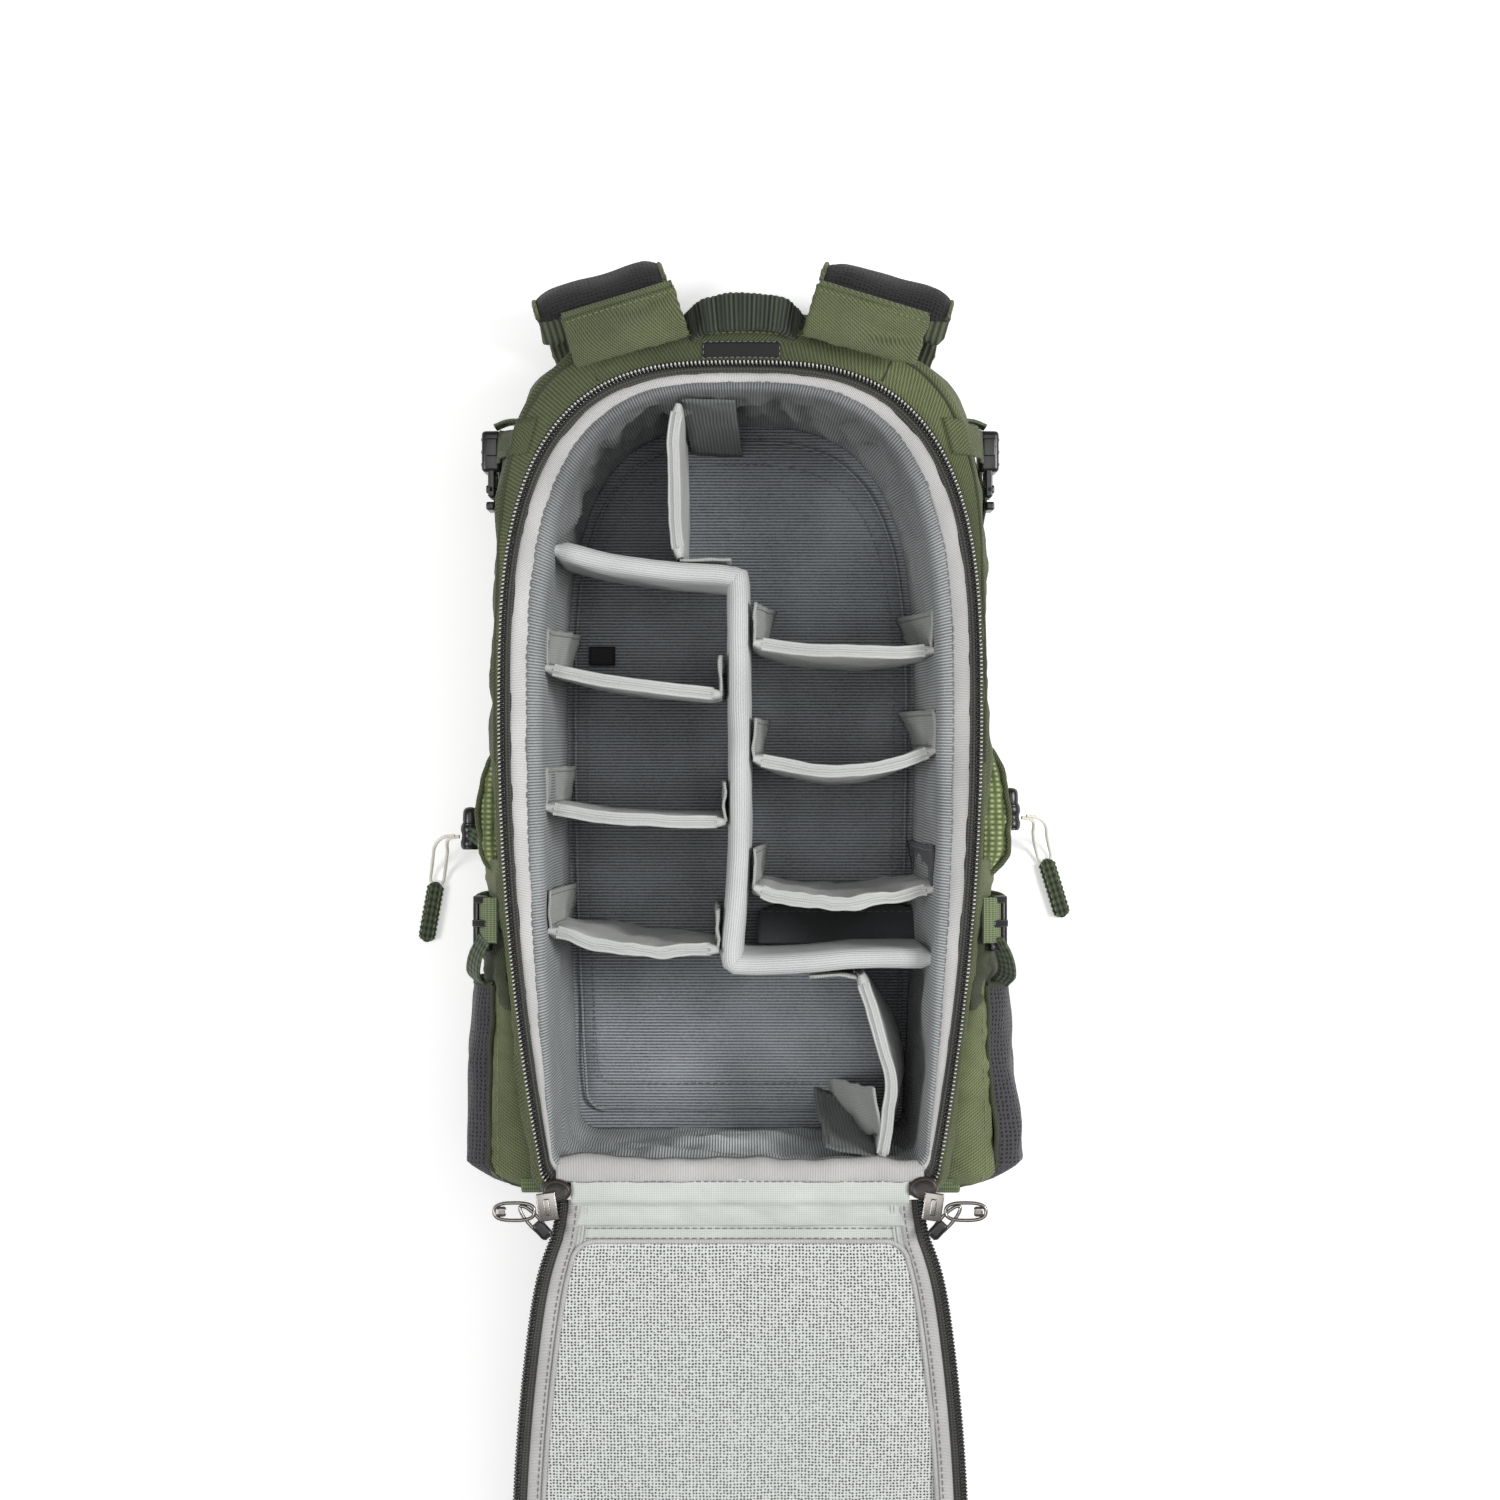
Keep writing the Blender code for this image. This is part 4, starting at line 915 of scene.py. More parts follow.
# How far each cross divider's two end tabs stand off the wall at the floor.
TAB_REACHES = {
    "divider_left_1": (0.014, 0.002), "divider_left_2": (0.011, 0.002), "divider_left_3": (0.010, 0.002),
    "divider_right_1": (0.013, 0.014), "divider_right_2": (0.008, 0.015), "divider_right_3": (0.008, 0.009),
}
MAIN_THICKNESS = 0.0115
CROSS_THICKNESS = 0.0062


def build_dividers():
    """The felt main divider, the six cross dividers with their tabs, and the two that run along the bag."""
    wall_pad("divider_main", FELT, MAIN_DIVIDER, MAIN_THICKNESS, 31, fold_size=0.03)
    for seed, (node, (points, lean, sag, folds)) in enumerate(CROSS_DIVIDERS.items()):
        wall_pad(node, PALE, points, CROSS_THICKNESS, 40 + seed, lean, sag, folds)
        first, last = TAB_REACHES[node]
        start, end = points[0], points[-1]
        last_cloth = HOOKS if node == "divider_right_3" else TAB_CLOTH
        hook_tab(node + "_tab_a", node, (start[0] + 0.0006, start[1]), -1.0, first, 0.45, TAB_CLOTH)
        hook_tab(node + "_tab_b", node, (end[0] - 0.0006, end[1]), 1.0, last, 0.6, last_cloth)
    wall_pad("divider_top", PALE, TOP_DIVIDER, CROSS_THICKNESS, 51, lean=-0.004, folds=0.0004)
    wall_pad("divider_bottom", PALE, BOTTOM_DIVIDER, CROSS_THICKNESS, 52, lean=-0.010, folds=0.0005)


def build_end_tabs():
    """Tabs of the two dividers that run along the bag, on the main divider's arms and on the walls."""
    for name, body, corner, along, down, reach in [
        ("divider_top_tab_a", "divider_top", (-0.0320, 0.1925), (1, -0.05, 0), (0.004, -0.020, 0), 0.029),
        ("divider_top_tab_b", "divider_top", (-0.0330, 0.1048), (1, 0, 0), (0, 0.004, 0), 0.028),
        ("divider_bottom_tab_a", "divider_bottom", (0.0640, -0.1248), (-1, 0, 0), (0, -0.003, 0), 0.026),
        ("divider_bottom_tab_b", "divider_bottom", (0.0765, -0.2260), (-1, 0.30, 0), (-0.004, 0.020, 0),
         0.030),
        ("divider_bottom_fold", "divider_bottom", (0.0790, -0.2140), (-0.2, 1.0, 0), (-0.022, -0.006, 0),
         0.028),
    ]:
        rows = []
        for step in range(13):
            share = step / 12
            z = DIVIDER_TOP - 0.002 - share * (DIVIDER_TOP - FLOOR_HIGH - 0.004)
            start = np.array([*corner, z]) + np.array(down) * share ** 1.2
            rows.append([start + np.array(along) * reach * part / 8 for part in range(9)])
        rows = crumple(np.array(rows), 0.020, 0.0014 if "bottom" in name else 0.0006, 9, (0.3, 1, 0.2))
        # The tab at the top wall and the one at the base wall take the darker copy: painted shade.
        cloth = TAB_PAINTED_SHADE if name in ("divider_top_tab_a", "divider_bottom_tab_b") else TAB_CLOTH
        grid_piece(name, rows, cloth, body=body, thickness=0.0014)
        hem = np.concatenate([rows[1:-1, -2], rows[-2, 1:-1][::-1]])
        stitches(name + "_hem", hem + (0, 0.0010, 0.0006), GREY_THREAD, pitch=0.0036, body=body,
                 slot="grey_lining")


# ---------------------------------------------------------------- cloth simulation and surfaces

def bake(piece):
    """Applies the piece's modifiers to its mesh."""
    shape = piece.evaluated_get(bpy.context.evaluated_depsgraph_get())
    mesh = bpy.data.meshes.new_from_object(shape)
    piece.modifiers.clear()
    piece.data = mesh


def coordinates(mesh):
    """The mesh's points as an array."""
    points = np.empty(len(mesh.vertices) * 3)
    mesh.vertices.foreach_get("co", points)
    return points.reshape(-1, 3)


def inflate(pads, pressure=4.0, frames=20):
    """Swells closed pads under air pressure. Each comes with its voxel size, the farthest a point may move
    and its sewn points."""
    starts = []
    for piece, voxel, cap, sewn in pads:
        remesh = piece.modifiers.new("remesh", "REMESH")
        remesh.mode = "VOXEL"
        remesh.voxel_size = voxel
        bake(piece)
        start = coordinates(piece.data)
        starts.append(start)
        group = piece.vertex_groups.new(name="sewn")
        for index, weight in enumerate(sewn(start)):
            if weight > 0.01:
                group.add([index], float(weight), "REPLACE")
        cloth = piece.modifiers.new("cloth", "CLOTH")
        cloth.settings.use_pressure = True
        cloth.settings.uniform_pressure_force = pressure
        cloth.settings.vertex_group_mass = "sewn"
        cloth.settings.tension_stiffness = 8.0
        cloth.settings.compression_stiffness = 8.0
        cloth.settings.bending_stiffness = 0.3
        cloth.settings.effector_weights.gravity = 0.0
        cloth.point_cache.frame_start = 1
        cloth.point_cache.frame_end = frames
    for step in range(1, frames + 1):
        scene.frame_set(step)
    for (piece, _, cap, sewn), start in zip(pads, starts):
        bake(piece)
        moved = coordinates(piece.data) - start
        distance = np.maximum(np.linalg.norm(moved, axis=1), 1e-9)
        moved *= np.minimum(1.0, cap / distance)[:, None]
        piece.data.vertices.foreach_set("co", (start + moved).ravel())
        piece.data.polygons.foreach_set("use_smooth", [True] * len(piece.data.polygons))
        calm = piece.modifiers.new("calm", "SMOOTH")
        calm.iterations = 8
        bake(piece)
        piece.modifiers.new("smooth", "SUBSURF").render_levels = 1
        piece.modifiers["smooth"].levels = 1
    scene.frame_set(1)


def lay_on(path, piece, lift=0.0004, direction=(0, 0, -1), reach=0.04):
    """The path moved along the direction until it lies on the piece."""
    shape = piece.evaluated_get(bpy.context.evaluated_depsgraph_get())
    aim = Vector(direction).normalized()
    laid = []
    for point in path:
        found, place, _, _ = shape.ray_cast(Vector(point) - aim * reach, aim, distance=2 * reach)
        laid.append(place - aim * lift if found else Vector(point))
    return np.array([tuple(point) for point in laid])


def opened(points):
    """Points of the back panel, given with the panel closed, as they lie with it folded open.

    Its sides draw in a little towards the hinge, where they are sewn."""
    turn = np.array(Matrix.Rotation(OPEN_ANGLE, 3, "X"))
    points = np.array(points, float)
    past = np.maximum(points[..., 1] - HINGE.y, 0.0)
    tuck = 0.0085 * np.exp(-(past / 0.032) ** 2) * np.minimum(1.0, np.abs(points[..., 0]) / 0.105) ** 3
    points[..., 0] -= np.sign(points[..., 0]) * tuck
    return (np.asarray(points, float) - HINGE) @ turn.T + np.array(HINGE)


# ---------------------------------------------------------------- cords

# The cords' thickness, half the gap between their two strands, and the line each loop hangs along.
CORD_RADIUS = 0.001
CORD_SPREAD = 0.004
CORD_ROUTES = {
    "left": [(-0.1612, -0.0490, 0.0750), (-0.1650, -0.0492, 0.0745), (-0.1690, -0.0510, 0.0680),
             (-0.1720, -0.0540, 0.0530), (-0.1745, -0.0585, 0.0340), (-0.1768, -0.0640, 0.0160),
             (-0.1785, -0.0700, 0.0055), (-0.1796, -0.0760, 0.0025)],
    "right": [(0.1612, -0.0380, 0.0750), (0.1650, -0.0382, 0.0745), (0.1688, -0.0398, 0.0680),
              (0.1716, -0.0425, 0.0530), (0.1738, -0.0465, 0.0340), (0.1758, -0.0515, 0.0160),
              (0.1778, -0.0570, 0.0055), (0.1795, -0.0625, 0.0025)],
}


def cord_loop(route):
    """Out along one strand, round the end and back along the other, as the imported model's cord runs."""
    spaced = smooth_path(route, 0.0055)
    heading = spaced[-1] - spaced[-2]
    heading[2] = 0.0
    heading /= np.linalg.norm(heading)
    across = np.array([-heading[1], heading[0], 0.0])
    widen = CORD_SPREAD * (0.35 + 0.65 * np.minimum(1.0, np.arange(len(spaced)) / (len(spaced) * 0.5)))
    out = spaced + across * widen[:, None]
    back = spaced - across * widen[:, None]
    angles = np.pi * np.arange(1, 6) / 6
    turn = spaced[-1] + CORD_SPREAD * (np.cos(angles)[:, None] * across + np.sin(angles)[:, None] * heading)
    return np.concatenate([out, turn, back[::-1]]), spaced[-1], heading


def build_cord(tag):
    """A cream cord loop that hangs from its lock to the floor, with a braided tab sewn over its end."""
    points, end, heading = cord_loop(CORD_ROUTES[tag])
    data = bpy.data.curves.new(f"pull_cord_{tag}", "CURVE")
    data.dimensions = "3D"
    data.bevel_depth = CORD_RADIUS
    data.bevel_resolution = 3
    data.use_fill_caps = True
    spline = data.splines.new("POLY")
    spline.points.add(len(points) - 1)
    for place, point in zip(spline.points, points):
        place.co = (*point, 1.0)
    cord = bpy.data.objects.new(f"pull_cord_{tag}", data)
    place_piece(cord, CREAM, replaces=[f"cord_loop_{tag}"])
    start = end + heading * (CORD_SPREAD - 0.002)
    distance = np.linspace(0.0, 0.036, 61)
    lift = 0.0006 * np.sin(distance * 90)
    path = start + heading * distance[:, None] + np.array([0, 0, 1.0]) * lift[:, None]
    rounding = np.minimum(1.0, np.sqrt(np.clip(np.minimum(distance, 0.036 - distance) / 0.003, 0.05, 1.0)))
    ribs = rounding * (0.94 + 0.06 * np.sin(2 * np.pi * distance / 0.0030))
    across = np.array([-heading[1], heading[0], 0.0])
    tab = sweep(f"pull_tab_{tag}", path, flat_section(0.0105, 0.0046), BRAID, across=across, scale=ribs,
                replaces=[f"cord_tab_{tag}"])
    for sign in (-1, 1):
        edge = path[4:-4] + across * sign * 0.0034 + (0, 0, 0.0024)
        stitches(f"pull_tab_stitches_{tag}_{'a' if sign > 0 else 'b'}", edge, pitch=0.0034,
                 slot="light_olive")
    length = float(np.linalg.norm(np.diff(points, axis=0), axis=1).sum())


# ---------------------------------------------------------------- harness

# The shoulder straps' angle to the bag's middle line, and the sizes of their pads and covers.
STRAP_SPLAY = math.radians(17.0)
STRAP_WIDTH = 0.070
STRAP_THICKNESS = 0.0115
COVER_WIDTH = STRAP_WIDTH - 0.0040


def strap_axes(side):
    """The outward and the sideways directions of a strap where it leaves the bag's top."""
    out = np.array([side * math.sin(STRAP_SPLAY), math.cos(STRAP_SPLAY), 0.0])
    across = np.array([math.cos(STRAP_SPLAY), -side * math.sin(STRAP_SPLAY), 0.0])
    return out, across


def strap_line(side):
    """A strap's middle line, sideways directions and widths, from its root over the top and under the bag."""
    out, across = strap_axes(side)
    root = np.array([0.0015 + side * 0.0635, 0.2180, 0.0])
    bend = [(0.0120, 0.1600), (0.020, 0.1605), (0.034, 0.1570), (0.046, 0.1450), (0.053, 0.1200),
            (0.054, 0.0900), (0.051, 0.0600), (0.044, 0.0340), (0.030, 0.0150), (0.012, 0.0080)]
    under = [(0.0700, 0.195, 0.070), (0.0715, 0.150, 0.068), (0.0720, 0.050, 0.062),
             (0.0720, -0.060, 0.055), (0.0725, -0.110, 0.040), (0.0730, -0.125, 0.030)]
    root = root + across * side * 0.0050
    stations = [(*(root + out * min(reach, 0.034 + (reach - 0.034) * 0.62))[:2], z, *across,
                 STRAP_WIDTH + 0.009)
                for reach, z in bend]
    stations += [(side * x, y, 0.0072, 1.0, 0.0, 0.0, width) for x, y, width in under]
    path = smooth_path(stations, 0.006)
    return path[:, :3], unit(path[:, 3:6]), path[:, 6]


def near_edge(middle, across, width, margin):
    """Which points of a strap lie within the margin of its sewn edges, as weights."""
    def weights(points):
        nearest = np.argmin(((points[:, None] - middle[None]) ** 2).sum(2), axis=1)
        off = np.abs(((points - middle[nearest]) * across[nearest]).sum(1))
        return np.clip((off - width[nearest] / 2 + margin) / margin * 1.4, 0.0, 1.0)
    return weights


def strap_parts(side, tag):
    """A strap's pad and the cloth cover sewn over its root, before they are inflated."""
    path, across, width = strap_line(side)
    thin = STRAP_THICKNESS - 0.0030
    half = thin / 2
    section = []
    for x in np.linspace(-0.46, 0.46, 9):
        section.append((x, half * (1.0 - 0.15 * (abs(x) / 0.46) ** 4)))
    section += [(0.495, half * 0.35), (0.495, -half * 0.35)]
    section += [(x, -y) for x, y in reversed(section[:9])]
    section += [(-0.495, -half * 0.35), (-0.495, half * 0.35)]
    ahead = directions(path)
    top = unit(np.cross(across, ahead))
    rows = []
    for sideways, upwards in section:
        droop = 0.0075 * abs(2 * sideways) ** 5 + 0.0022 * math.cos(math.pi * sideways)
        bent = np.clip(1.0 - (np.arange(len(path)) - 14) / 10, 0.25, 1.0)
        rows.append(path + across * (sideways * width)[:, None] + top * (upwards - droop * bent)[:, None])
    rows = crumple(np.array(rows), 0.030, 0.0016, 62, (0, 1, 0.5))
    pad = grid_piece(f"strap_pad_{tag}", rows, STRAP_CLOTH, wrapped=True, caps=True,
                     replaces=[f"shoulder_strap_{tag}"])
    pad.data.materials.append(STRAP_MESH)
    out, side_way = strap_axes(side)
    root = np.array([0.0030 + side * 0.0600, 0.2120, 0.0])
    middle = smooth_path([tuple((root + out * reach)[:2]) + (z,) for reach, z in
                          [(0.0030, 0.1650), (0.0110, 0.1692), (0.0210, 0.1686), (0.0290, 0.1682),
                           (0.0320, 0.1698)]], 0.002)
    cover_section = flat_section(COVER_WIDTH, 0.0048, 11, 0.0003)

    def wrinkles(rows):
        return crumple(rows, 0.020, 0.0030, 64 + side, (0, 0.3, 1), stretch=(1.8, 0.8, 1))

    cover = sweep(f"strap_cover_{tag}", middle, cover_section, OLIVE_SOLID, across=side_way, wave=wrinkles,
                  replaces=[f"strap_flap_{tag}"])
    return pad, cover, (path, across, width), (middle, side_way)


def strip_uv(piece, path, across):
    """Lays a weave along a strap: sideways distance first, then distance along the path."""
    points = coordinates(piece.data)
    nearest = np.argmin(((points[:, None] - path[None]) ** 2).sum(2), axis=1)
    ahead = directions(path)
    off = points - path[nearest]
    run = np.concatenate([[0.0], np.cumsum(np.linalg.norm(np.diff(path, axis=0), axis=1))])
    pairs = np.column_stack([(off * across[nearest]).sum(1), run[nearest] + (off * ahead[nearest]).sum(1)])
    layer = piece.data.uv_layers.new(name="UVMap")
    corners = np.empty(len(piece.data.loops), int)
    piece.data.loops.foreach_get("vertex_index", corners)
    layer.data.foreach_set("uv", pairs[corners].ravel())


def dress_strap(tag, pad, cover, strap, flap):
    """Gives a simulated strap its mesh face, bound edges and stitched cover."""
    path, across, width = strap
    ahead = directions(path)
    top = unit(np.cross(across, ahead))
    points = coordinates(pad.data)
    for polygon in pad.data.polygons:
        centre = points[list(polygon.vertices)].mean(0)
        nearest = int(np.argmin(((path - centre) ** 2).sum(1)))
        off = abs(np.dot(centre - path[nearest], across[nearest]))
        facing = np.dot(np.array(polygon.normal), top[nearest])
        shown = facing * np.sign(top[5, 2]) > 0.35 and off < width[nearest] * 0.46
        free = np.dot(centre - path[0], ahead[0]) > 0.014 or centre[2] < 0.12
        polygon.material_index = 1 if shown and free else 0
    outward_side = top * np.sign(top[5, 2])
    strip_uv(pad, path, across)
    middle, side_way = flap
    strip_uv(cover, middle, np.broadcast_to(side_way, middle.shape))
    for sign, part in ((-1, "a"), (1, "b")):
        edge = path + across * (sign * width * 0.455)[:, None] + outward_side * (STRAP_THICKNESS / 2 - 0.0075)
        pipe(f"strap_binding_{tag}_{part}", edge[3:-2], 0.0013, OLIVE_SOLID)
    middle, side_way = flap
    half = COVER_WIDTH / 2
    steps = np.linspace(-half + 0.004, half - 0.004, 40)
    line = lay_on(middle[-3] + side_way * steps[:, None], cover, 0.0003)
    stitches(f"cover_stitches_{tag}", line, pitch=0.0030, radius=0.00030)
    hem = middle[-1] + side_way * np.linspace(-half + 0.002, half - 0.002, 30)[:, None] + (0, 0, 0.0004)
    pipe(f"cover_hem_{tag}", hem, 0.0018, OLIVE_SOLID)


def build_strap_webbing(side, tag):
    """The webbing tail of a strap along the bag's front, with its adjuster."""
    tail = [(0.0735, -0.1290, 0.0064), (0.0800, -0.1600, 0.0050), (0.0900, -0.2000, 0.0060),
            (0.0960, -0.2250, 0.0120), (0.0975, -0.2330, 0.0190)]
    path = smooth_path([(side * x, y, z) for x, y, z in tail], 0.0015)
    across = unit(np.array([1.0, 0.25 * side, 0.0]))
    webbing(f"strap_tail_{tag}", path, 0.0200, 0.0017, across, replaces=[f"strap_webbing_{tag}"])
    place = path[len(path) // 3]
    ladder_lock(f"strap_adjuster_{tag}", place + (0, 0, 0.0030), 0.026, 0.022, 0.004)


def webbing(name, path, width, thickness, across, swell=0.010, pace=2.1, **rest):
    """A flat webbing whose edges ripple with its weave."""
    ripple = 1.0 + swell * np.sin(np.arange(len(path)) * pace)
    sweep(name, path, flat_section(width, thickness), WEBBING, across=across, scale=ripple, **rest)


def ladder_lock(name, place, width, length, height, turn=None):
    """A moulded buckle of three bars between two rails, that a webbing threads through."""
    parts = []
    turn = turn or Matrix.Identity(4)
    for index, y in enumerate((-0.5, 0.0, 0.5)):
        shift = turn @ Vector((0, y * (length - 0.004), 0.0008 * (index == 1)))
        parts.append(block(f"{name}_bar_{index}", (width, 0.0042, height), Vector(place) + shift, BLACK,
                           0.0012, turn))
    for index, x in enumerate((-0.5, 0.5)):
        shift = turn @ Vector((x * (width - 0.003), 0, 0))
        parts.append(block(f"{name}_rail_{index}", (0.0034, length, height * 0.9), Vector(place) + shift,
                           BLACK, 0.0011, turn))
    return join(name, parts)


def build_handle():
    """The crimped grab handle, the strip its roots are sewn under, and the cloth behind it."""
    low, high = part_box("grab_handle")
    middle = (low.x + high.x) / 2
    arch = [(-0.0310, 0.2330, 0.1420), (-0.0265, 0.2370, 0.1520), (-0.0180, 0.2408, 0.1600),
            (0.0, 0.2424, 0.1635),
            (0.0180, 0.2408, 0.1600), (0.0265, 0.2370, 0.1520), (0.0310, 0.2330, 0.1420)]
    path = smooth_path([(x * 1.03 + middle, y - 0.0050, z) for x, y, z in arch], 0.0006)
    run = np.arange(len(path)) * 0.0006
    width = 1.0 + 0.015 * np.sin(2 * np.pi * run / 0.0030) + 0.03 * np.sin(run * 60 - 0.8)

    def ripple(rows):
        lift = 0.0006 * np.sin(2 * np.pi * run / 0.0030)
        return crumple(rows + (0, 0, 1) * lift[None, :, None], 0.014, 0.0005, 61, (0, 1, 0.5))

    sweep("handle_webbing", path, flat_section(0.0205, 0.0040, 10), CRIMP,
          across=unit(np.array([0, 1, -0.15])),
          scale=width, wave=ripple, body="handle", replaces=["grab_handle"])
    root = smooth_path([(-0.036 + middle, 0.2240, 0.1528), (0.0 + middle, 0.2262, 0.1534),
                        (0.036 + middle, 0.2240, 0.1528)], 0.0012)
    sweep("handle_root_strip", root, flat_section(0.0085, 0.0024, 8), OLIVE)
    backing = [[(x + middle, y, z) for x in np.linspace(-0.040, 0.040, 40)]
               for y, z in [(0.2215, 0.1520), (0.2270, 0.1500), (0.2330, 0.1440), (0.2370, 0.1360),
                            (0.2380, 0.1240), (0.2340, 0.1120)]]
    backing = crumple(np.array(backing), 0.020, 0.0012, 63, (0, 1, 0.6))
    grid_piece("handle_backing", backing, OLIVE_DARK, thickness=0.0014)
    stitches("handle_root_stitches", root[3:-3] + (0, 0.001, 0.0016), pitch=0.0034)


# ---------------------------------------------------------------- sides

def build_buckle(side, tag):
    """A side-release buckle on the bag's shoulder, with the webbing and cloth that hold it."""
    middle, size = middle_and_size(f"buckle_socket_{tag}")
    parts = [block(f"socket_{tag}_shell", size, middle, BLACK, 0.0026)]
    for index, shift in enumerate((-0.30, 0.0, 0.30)):
        place = (middle.x + side * size.x * 0.47, middle.y + size.y * shift, middle.z)
        parts.append(block(f"socket_{tag}_rib_{index}", (0.0018, 0.0020, size.z * 0.62), place, BLACK,
                           0.0006))
    for index, z in enumerate((-0.5, 0.5)):
        place = (middle.x, middle.y + size.y * 0.10, middle.z + z * (size.z - 0.001))
        parts.append(block(f"socket_{tag}_window_{index}", (size.x * 0.62, size.y * 0.44, 0.0022), place,
                           BLACK, 0.0008))
    socket = join(f"buckle_shell_{tag}", parts)
    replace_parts(socket, f"buckle_socket_{tag}")
    middle, size = middle_and_size(f"buckle_tongue_{tag}")
    body = f"tongue_{tag}"
    parts = []
    for index, z in enumerate((-0.42, 0.0, 0.42)):
        thick = size.z * (0.16 if z else 0.22)
        place = (middle.x, middle.y + size.y * 0.10, middle.z + z * size.z)
        parts.append(block(f"tongue_{tag}_prong_{index}", (size.x * 0.7, size.y * 0.80, thick), place, BLACK,
                           0.0010, body=body))
    for index, y in enumerate((-0.44, -0.18)):
        place = (middle.x + side * 0.0006, middle.y + y * size.y, middle.z)
        parts.append(block(f"tongue_{tag}_bar_{index}", (size.x * 0.86, size.y * 0.13, size.z), place, BLACK,
                           0.0012, body=body))
    tongue = join(f"buckle_fork_{tag}", parts)
    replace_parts(tongue, f"buckle_tongue_{tag}")
    points = [(side * 0.1225, 0.1835, 0.105), (side * 0.1300, 0.1830, 0.105), (side * 0.1370, 0.1802, 0.105)]
    path = smooth_path(points, 0.0012)
    webbing(f"compression_strap_{tag}", path, 0.0220, 0.0018, (0, 0, 1), swell=0.012, pace=2.2,
            replaces=[f"compression_webbing_{tag}"])
    skin = bpy.data.objects["bag_shell"]
    rows = []
    for part in np.linspace(0.0, 1.0, 9):
        near = np.array([side * (0.1105 + 0.0055 * part), 0.1810 - 0.0200 * part, 0.0])
        far = np.array([side * (0.1240 + 0.0030 * part), 0.1790 - 0.0190 * part, 0.0])
        row = lay_on([near + (far - near) * share + (0, 0, 0.2) for share in np.linspace(0.0, 1.0, 7)], skin,
                     0.0012, (0, 0, -1), 0.2)
        row[:, 2] = np.minimum(row[:, 2], 0.1640)
        end = np.array([side * (0.1335 + 0.0010 * part), 0.1765 - 0.0180 * part, 0.1215])
        rows.append(list(row) + [row[-1] * 0.6 + end * 0.4 + (side * 0.002, 0, 0.003),
                                 row[-1] * 0.25 + end * 0.75, end])
    grid_piece(f"buckle_lead_{tag}", np.array(rows), OLIVE, thickness=0.0015)
    back = smooth_path([(side * 0.1335, 0.1560, 0.105), (side * 0.1342, 0.1470, 0.105),
                        (side * 0.1365, 0.1380, 0.105), (side * 0.1345, 0.1250, 0.105)], 0.0012)
    sweep(f"buckle_anchor_{tag}", back, flat_section(0.0200, 0.0016), OLIVE_DARK, across=(0, 0, 1))


def side_width(y):
    """Half the bag's width at that distance along it."""
    return SHELL_HALF - OUTER_TAPER * (y - WIDEST_Y) ** 2


def build_side_mesh(side, tag):
    """The light stretch net over the side, with its hems and gathered top."""
    wide = 0.975 if side < 0 else 1.0
    plan = [(0.1346, 0.004), (0.1395, -0.002), (0.145, -0.014), (0.1472, -0.030), (0.1472, -0.056),
            (0.140, -0.066), (0.1324, -0.071)]
    path = smooth_path([(side * x * wide, y, 0.0) for x, y in plan], 0.0020)
    rows = []
    for share in np.linspace(0.0, 1.0, 24):
        bulge = 1.0 + 0.012 * math.sin(math.pi * share)
        rows.append(path * (bulge, 1, 1) + (0, 0, 0.048 + 0.080 * share))
    rows = crumple(np.array(rows), 0.014, 0.0010, 71, (side, 0, 0.4))
    net = grid_piece(f"side_net_{tag}", rows, OLIVE_LIGHT, thickness=0.0016,
               replaces=[f"side_mesh_{tag}"])
    cut_from(rows)
    for index, row in enumerate((rows[0], rows[-1])):
        pipe(f"side_net_hem_{tag}_{index}", row, 0.0016, OLIVE)
    back = side_width(-0.03) + 0.0012
    cover = []
    for share in np.linspace(0.0, 1.0, 12):
        line = path.copy()
        line[:, 0] = side * (back + (np.abs(path[:, 0]) - back) * share)
        cover.append(line + (0, 0, 0.1265 + 0.0020 * math.sin(math.pi * share)))
    cover = crumple(np.array(cover), 0.012, 0.0012, 72, (0, 0, 1))
    grid_piece(f"side_net_top_{tag}", cover, OLIVE_LIGHT, thickness=0.0014)


def build_cord_lock(side, tag):
    """The turned barrel and button of a cord lock, and the loop that holds it."""
    for node, body, profile in [
        (f"cord_lock_barrel_{tag}", "root", [0.80, 0.96, 1.0, 1.0, 0.90, 0.86, 0.90, 1.0, 1.0, 0.96, 0.82]),
        (f"cord_lock_button_{tag}", f"button_{tag}", [0.90, 0.98, 1.0, 0.99, 0.97, 0.92, 0.80, 0.55, 0.20]),
    ]:
        low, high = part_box(node)
        middle = (low + high) / 2
        radius = (high.z - low.z) / 2
        ys = np.linspace(low.y, high.y, len(profile))
        if "button" in node:
            ys = low.y + (high.y - low.y) * np.array([0, 0.15, 0.35, 0.5, 0.65, 0.8, 0.9, 0.97, 1.0])
        path = np.array([(middle.x, y, middle.z) for y in ys])
        sweep(node + "_turned", path, circle(radius, 28), BLACK, scale=profile, body=body, replaces=[node])
    middle, _ = middle_and_size(f"cord_lock_barrel_{tag}")
    loop = smooth_path([(side * 0.1440, middle.y - 0.004, middle.z + 0.012),
                        (side * 0.1500, middle.y, middle.z + 0.0085),
                        (side * 0.1535, middle.y + 0.002, middle.z + 0.0062)], 0.001)
    sweep(f"cord_lock_strap_{tag}", loop, flat_section(0.0080, 0.0014), BRAID, across=(0, 1, 0))


